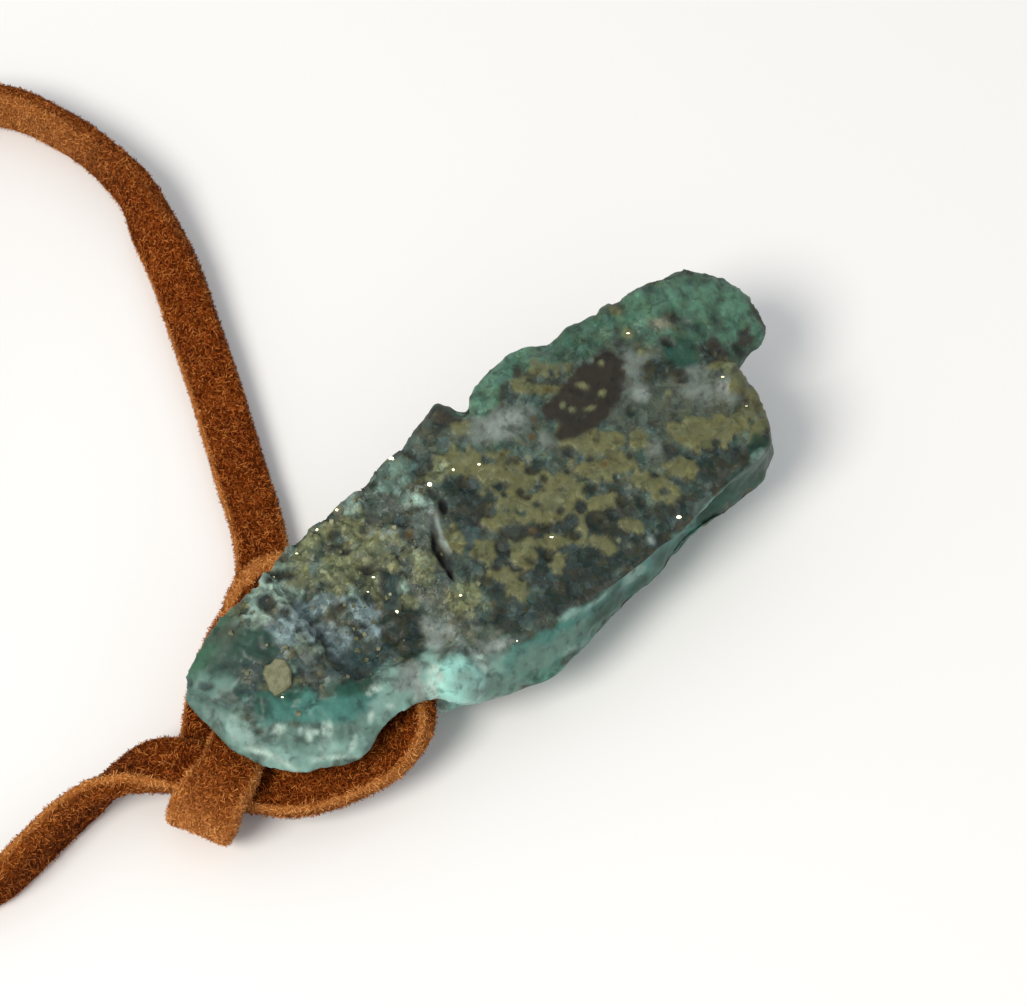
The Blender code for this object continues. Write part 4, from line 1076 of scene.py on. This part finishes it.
def rawStone():  # dark rock with matte pyrite, quartz and waxy green emerald grown into it
    material, tree, shader = newMaterial("raw emerald in pyrite rock", {
        "Subsurface Radius": (0.7, 1.0, 0.9), "Subsurface Scale": 0.0008, "Specular IOR Level": 0.28,
    })
    place = placeInMm(tree)
    middle = (0.5, 0.5, 0.5)
    blur = addNode(tree, "ShaderNodeTexNoise", {"Vector": place, "Scale": 2.5, "Detail": 2.0})
    warp = addNode(tree, "ShaderNodeVectorMath", {0: blur.outputs["Color"], 1: middle},
                   operation="SUBTRACT")
    bent = addNode(tree, "ShaderNodeVectorMath", {0: warp.outputs[0], 1: middle, 2: place},
                   operation="MULTIPLY_ADD").outputs[0]
    mineral = addNode(tree, "ShaderNodeAttribute", attribute_name="mineral").outputs["Color"]
    wax, even, metal, rough = (
        addNode(tree, "ShaderNodeAttribute", attribute_name=name).outputs["Fac"]
        for name in ("wax", "even", "metal", "rough")
    )
    calm = addNode(tree, "ShaderNodeMath", {0: 1.0, 1: even}, operation="SUBTRACT").outputs[0]
    speckle = addNode(tree, "ShaderNodeMath", {0: calm, 1: 0.24}, operation="MULTIPLY").outputs[0]
    colour, relief = mineral, 0.0
    # where each hue starts and is full, on a scale of a random number for each grain
    greyHue, brownHue, blueHue = (0.28, 0.32, "#59605c"), (0.53, 0.57, "#5d5734"), (0.86, 0.90, "#6c8785")
    for scale, contrast, tilt in ((3.4, 0.85, 0.55), (1.5, 0.35, 0.35)):
        cells = addNode(tree, "ShaderNodeTexVoronoi", {"Vector": bent, "Scale": scale}).outputs
        picks = addNode(tree, "ShaderNodeSeparateColor", {0: cells["Color"]}).outputs
        hue = "#22443d"
        for low, high, other in (greyHue, brownHue, blueHue):
            past = addNode(tree, "ShaderNodeMapRange",
                           {"Value": picks[1], "From Min": low, "From Max": high},
                           interpolation_type="SMOOTHSTEP").outputs["Result"]
            hue = addNode(tree, "ShaderNodeMix", {0: past, 6: hue, 7: other}, data_type="RGBA").outputs[2]
        colour = addNode(tree, "ShaderNodeMix", {0: speckle, 6: colour, 7: hue},
                         data_type="RGBA").outputs[2]
        tone = addNode(tree, "ShaderNodeMath", {0: picks[0], 1: contrast, 2: 1.0 - 0.5 * contrast},
                       operation="MULTIPLY_ADD")
        colour = addNode(tree, "ShaderNodeMix", {0: calm, 6: colour, 7: tone.outputs[0]},
                         data_type="RGBA", blend_type="MULTIPLY").outputs[2]
        lean = addNode(tree, "ShaderNodeVectorMath", {0: cells["Color"], 1: middle}, operation="SUBTRACT")
        away = addNode(tree, "ShaderNodeVectorMath", {0: bent, 1: cells["Position"]}, operation="SUBTRACT")
        facet = addNode(tree, "ShaderNodeVectorMath", {0: lean.outputs[0], 1: away.outputs[0]},
                        operation="DOT_PRODUCT").outputs["Value"]
        relief = addNode(tree, "ShaderNodeMath", {0: facet, 1: tilt, 2: relief},
                         operation="MULTIPLY_ADD").outputs[0]
    soft = addNode(tree, "ShaderNodeTexNoise", {
        "Vector": place, "Scale": 1.3, "Detail": 3.0, "Roughness": 0.6, "Distortion": 0.3,
    }).outputs["Fac"]
    milk = (0.45, 0.7, wax, "#d8e6e0", "SOFT_LIGHT")
    shadow = (0.5, 0.3, 0.8, "#a8a8a8", "MULTIPLY")
    for low, high, amount, wash, blending in (milk, shadow):
        washed = addNode(tree, "ShaderNodeMix", {0: 1.0, 6: colour, 7: wash},
                         data_type="RGBA", blend_type=blending).outputs[2]
        spots = addNode(tree, "ShaderNodeMapRange", {"Value": soft, "From Min": low, "From Max": high},
                        interpolation_type="SMOOTHSTEP").outputs["Result"]
        share = addNode(tree, "ShaderNodeMath", {0: spots, 1: amount}, operation="MULTIPLY").outputs[0]
        colour = addNode(tree, "ShaderNodeMix", {0: share, 6: colour, 7: washed},
                         data_type="RGBA").outputs[2]
    bump = addNode(tree, "ShaderNodeBump", {"Height": relief, "Strength": calm, "Distance": 0.001})
    ends = {
        "Base Color": colour, "Metallic": metal, "Roughness": rough, "Subsurface Weight": wax,
        "Normal": bump.outputs[0],
    }
    for name, value in ends.items():
        tree.links.new(value, shader.inputs[name])
    return material


skinMesh = fineStone()
carveStone(skinMesh)
skinMesh.shade_smooth()
emeraldSkin = addObject("emeraldSkin", skinMesh, rawStone())
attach(emeraldSkin, "root")
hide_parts("emerald_stone")
print("the stone has", len(skinMesh.polygons), "facets")


# pyrite crystals that stand on the stone

pyrite = {
    "grit": 5.5,  # small crystals to a square millimetre where they are densest
    "gritSize": 0.17,  # mm
    "crystal": (-12.92, -9.6),  # the middle of the large crystal, across and up the view
    "crystalThickness": 0.26,
    "glintSize": 0.125,
    "glintTurn": 0.10,  # how far some are turned from the light
}
# crystals with one face turned to throw the window light at the camera: across and up the view, size
glints = [
    (9.1, -0.8, 1.3), (-4.6, 1.0, 1.2), (-3.3, 1.8, 0.8), (-1.9, 2.1, 0.8), (2.1, -1.9, 1.0),
    (6.3, 9.3, 0.9),
    (11.5, 6.9, 0.9), (-6.7, 2.4, 1.3), (-6.4, -6.0, 0.9), (-12.0, -2.2, 1.2), (-11.9, -2.8, 0.9),
    (-7.7, -4.1, 0.8), (-12.7, -10.7, 0.7), (-9.7, -0.4, 0.8), (-10.8, -1.5, 0.7), (-13.2, -4.1, 0.7),
    (0.2, -7.6, 0.5), (12.8, 5.3, 0.7), (-8.0, -4.9, 0.7), (-2.9, -5.1, 0.7),
]
# the large crystal's corners, seen from above, mm from its middle
crystalCorners = [
    (-0.15, 1.02), (0.35, 0.90), (0.68, 0.35), (0.72, -0.45), (0.42, -0.78), (-0.10, -1.06), (-0.42, -0.72),
    (-0.80, 0.20), (-0.70, 0.62), (-0.40, 0.68),
]


def matteGold():  # pyrite with a dull tarnish
    material, tree, shader = newMaterial("tarnished pyrite", {"Metallic": 0.35, "Roughness": 0.5})
    tarnish = addNode(tree, "ShaderNodeTexNoise", {
        "Vector": placeInMm(tree), "Scale": 3.5, "Detail": 3.0, "Roughness": 0.6, "Distortion": 0.0,
    }).outputs["Fac"]
    dull = addNode(tree, "ShaderNodeMapRange", {"Value": tarnish, "From Min": 0.35, "From Max": 0.65},
                   interpolation_type="SMOOTHSTEP").outputs["Result"]
    colour = addNode(tree, "ShaderNodeMix", {0: dull, 6: "#6a6a4c", 7: "#7e7f63"}, data_type="RGBA")
    tree.links.new(colour.outputs[2], shader.inputs["Base Color"])
    return material


def brightGold():  # clean pyrite faces
    return newMaterial("bright pyrite", {"Base Color": "#e2dfb4", "Metallic": 0.8, "Roughness": 0.3})[0]


def gritTree():
    numbers = (("Density", "Float"), ("Size", "Float"), ("Seed", "Int"))
    tree, entry, scatter, seeds = startGroup("pyrite grit", numbers, "Gold", "grit", 2)
    cube = addNode(tree, "GeometryNodeMeshCube").outputs["Mesh"]
    turn = addNode(tree, "FunctionNodeRandomValue", {1: (math.tau, math.tau, math.tau), "Seed": seeds[0]},
                   data_type="FLOAT_VECTOR").outputs[0]
    smallest, largest = (
        addNode(tree, "ShaderNodeMath", {0: entry["Size"], 1: share}, operation="MULTIPLY").outputs[0]
        for share in (0.5, 1.4)
    )
    size = addNode(tree, "FunctionNodeRandomValue", {2: smallest, 3: largest, "Seed": seeds[1]}).outputs[1]
    grains = makeReal(tree, scatter["Points"], cube, turn, size, entry["Gold"])
    addNode(tree, "NodeGroupOutput", {0: grains})
    return tree


def whereSeen(surface, across, up):
    # the place on the stone that shows at a spot in the view, and the surface's direction there
    camera = bpy.context.scene.camera
    local = Vector((across, up, -studio["distance"]))
    direction = (camera.matrix_world.to_3x3() @ local).normalized()
    place, normal, _, _ = surface.ray_cast(camera.matrix_world.translation, direction)
    return place, normal


def addFlake(bm, place, normal, corners, thickness):
    # a flat crystal with bevelled sides, standing on the surface; its corners are in mm
    right = bpy.context.scene.camera.matrix_world.col[0].to_3d()
    side = (right - normal * right.dot(normal)).normalized()
    ahead = normal.cross(side)
    rings = []
    for grow, rise in ((1.0, -0.8), (1.0, 0.7), (0.9, 1.0)):
        rings.append([
            bm.verts.new(place + (side * x * grow + ahead * y * grow + normal * rise * thickness) * mm)
            for x, y in corners
        ])
    joinRings(bm, rings)


def makeCrystals(skin):
    surface = BVHTree.FromObject(skin, bpy.context.evaluated_depsgraph_get())
    toCamera = bpy.context.scene.camera.matrix_world.col[2].to_3d()
    toWindow = bpy.data.objects["windowLight"].location.normalized()
    halfway = (toCamera + toWindow).normalized()
    bm = bmesh.new()
    place, normal = whereSeen(surface, *pyrite["crystal"])
    addFlake(bm, place, (normal + toCamera * 0.6).normalized(), crystalCorners, pyrite["crystalThickness"])
    large = len(bm.faces)
    for i, (across, up, size) in enumerate(glints):
        place, normal = whereSeen(surface, across, up)
        if place is not None:
            radius, sides = pyrite["glintSize"] * size, 5 + i % 2
            turns = [math.tau * k / sides + 1.3 * i for k in range(sides)]
            narrow = radius * (0.6 + 0.3 * math.sin(i))
            corners = [(radius * math.cos(a), narrow * math.sin(a)) for a in turns]
            aside = Vector((math.sin(2.3 * i), math.cos(3.1 * i), 0.0)) * pyrite["glintTurn"]
            addFlake(bm, place, (halfway + aside).normalized(), corners, 0.3 * radius)
    for i, facet in enumerate(bm.faces):
        facet.material_index = 0 if i < large else 1
    bmesh.ops.recalc_face_normals(bm, faces=bm.faces)
    mesh = meshFrom(bm, "pyriteCrystals")
    crystals = addObject("pyriteCrystals", mesh)
    mesh.materials.append(matteGold())
    mesh.materials.append(brightGold())
    return crystals


def makeGrit(skin):
    grit = addObject("pyriteGrit", skin.data.copy())
    useTree(grit, gritTree(), {
        "Density": pyrite["grit"] / mm**2, "Size": pyrite["gritSize"] * mm, "Seed": 5,
        "Gold": bpy.data.materials["tarnished pyrite"],
    })
    return grit


pyriteCrystals = makeCrystals(emeraldSkin)
pyriteGrit = makeGrit(emeraldSkin)
for piece in (pyriteCrystals, pyriteGrit):
    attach(piece, "root")
    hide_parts("emerald_stone")
cubeFaces = 6
print("pyrite stands on the stone:", len(pyriteGrit.data.polygons) // cubeFaces, "small crystals")


# the knot that ties the lace's two ends

knotTie = {"wrapRadius": 2.0, "wraps": (-1.7, 1.7), "height": 2.7}
knotTails = [
    [(-1.6, 0.4, 1.65), (1.5, 0.9, 1.65), (4.2, 1.6, 1.6), (7.2, 4.0, 1.6)],
    [(-1.6, -0.4, 1.8), (1.5, -0.9, 1.8), (4.4, -2.2, 1.6), (6.4, -4.9, 1.6)],
]


def makeEndKnot(material):
    pieces = []
    for along in knotTie["wraps"]:
        turns = np.linspace(0.0, math.tau, 49)
        ring = [
            (knotX + along + 0.3 * math.sin(a), knotY + knotTie["wrapRadius"] * math.cos(a),
             knotTie["height"] + knotTie["wrapRadius"] * math.sin(a), 1, 0, 0)
            for a in turns
        ]
        pieces.append(np.array(ring))
    for tail in knotTails:
        rows, _ = smoothCurve([(knotX + x, knotY + y, z, 0, 0, 1) for x, y, z in tail], suede["step"])
        pieces.append(rows)
    joined = bmesh.new()
    for rows in pieces:
        part = sweepLace("knotPart", rows, material)
        joined.from_mesh(part.data)
        bpy.data.objects.remove(part)
    mesh = meshFrom(joined, "endKnot")
    mesh.shade_smooth()
    return addObject("endKnot", mesh, material)


endKnot = makeEndKnot(suedeBrown)
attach(endKnot, "root")
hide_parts("lace_end_knot")

for strand, path, length, exitPoint in (
    (upperStrand, upperPath, upperLength, toFrame(-9.35, 4.2, 3.65)),
    (lowerStrand, lowerPath, lowerLength, toFrame(-9.25, -4.6, 3.65)),
):
    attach(strand, "root")
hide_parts("lace_upper_strand", "lace_coil")
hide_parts("lace_lower_strand", "lace_coil")
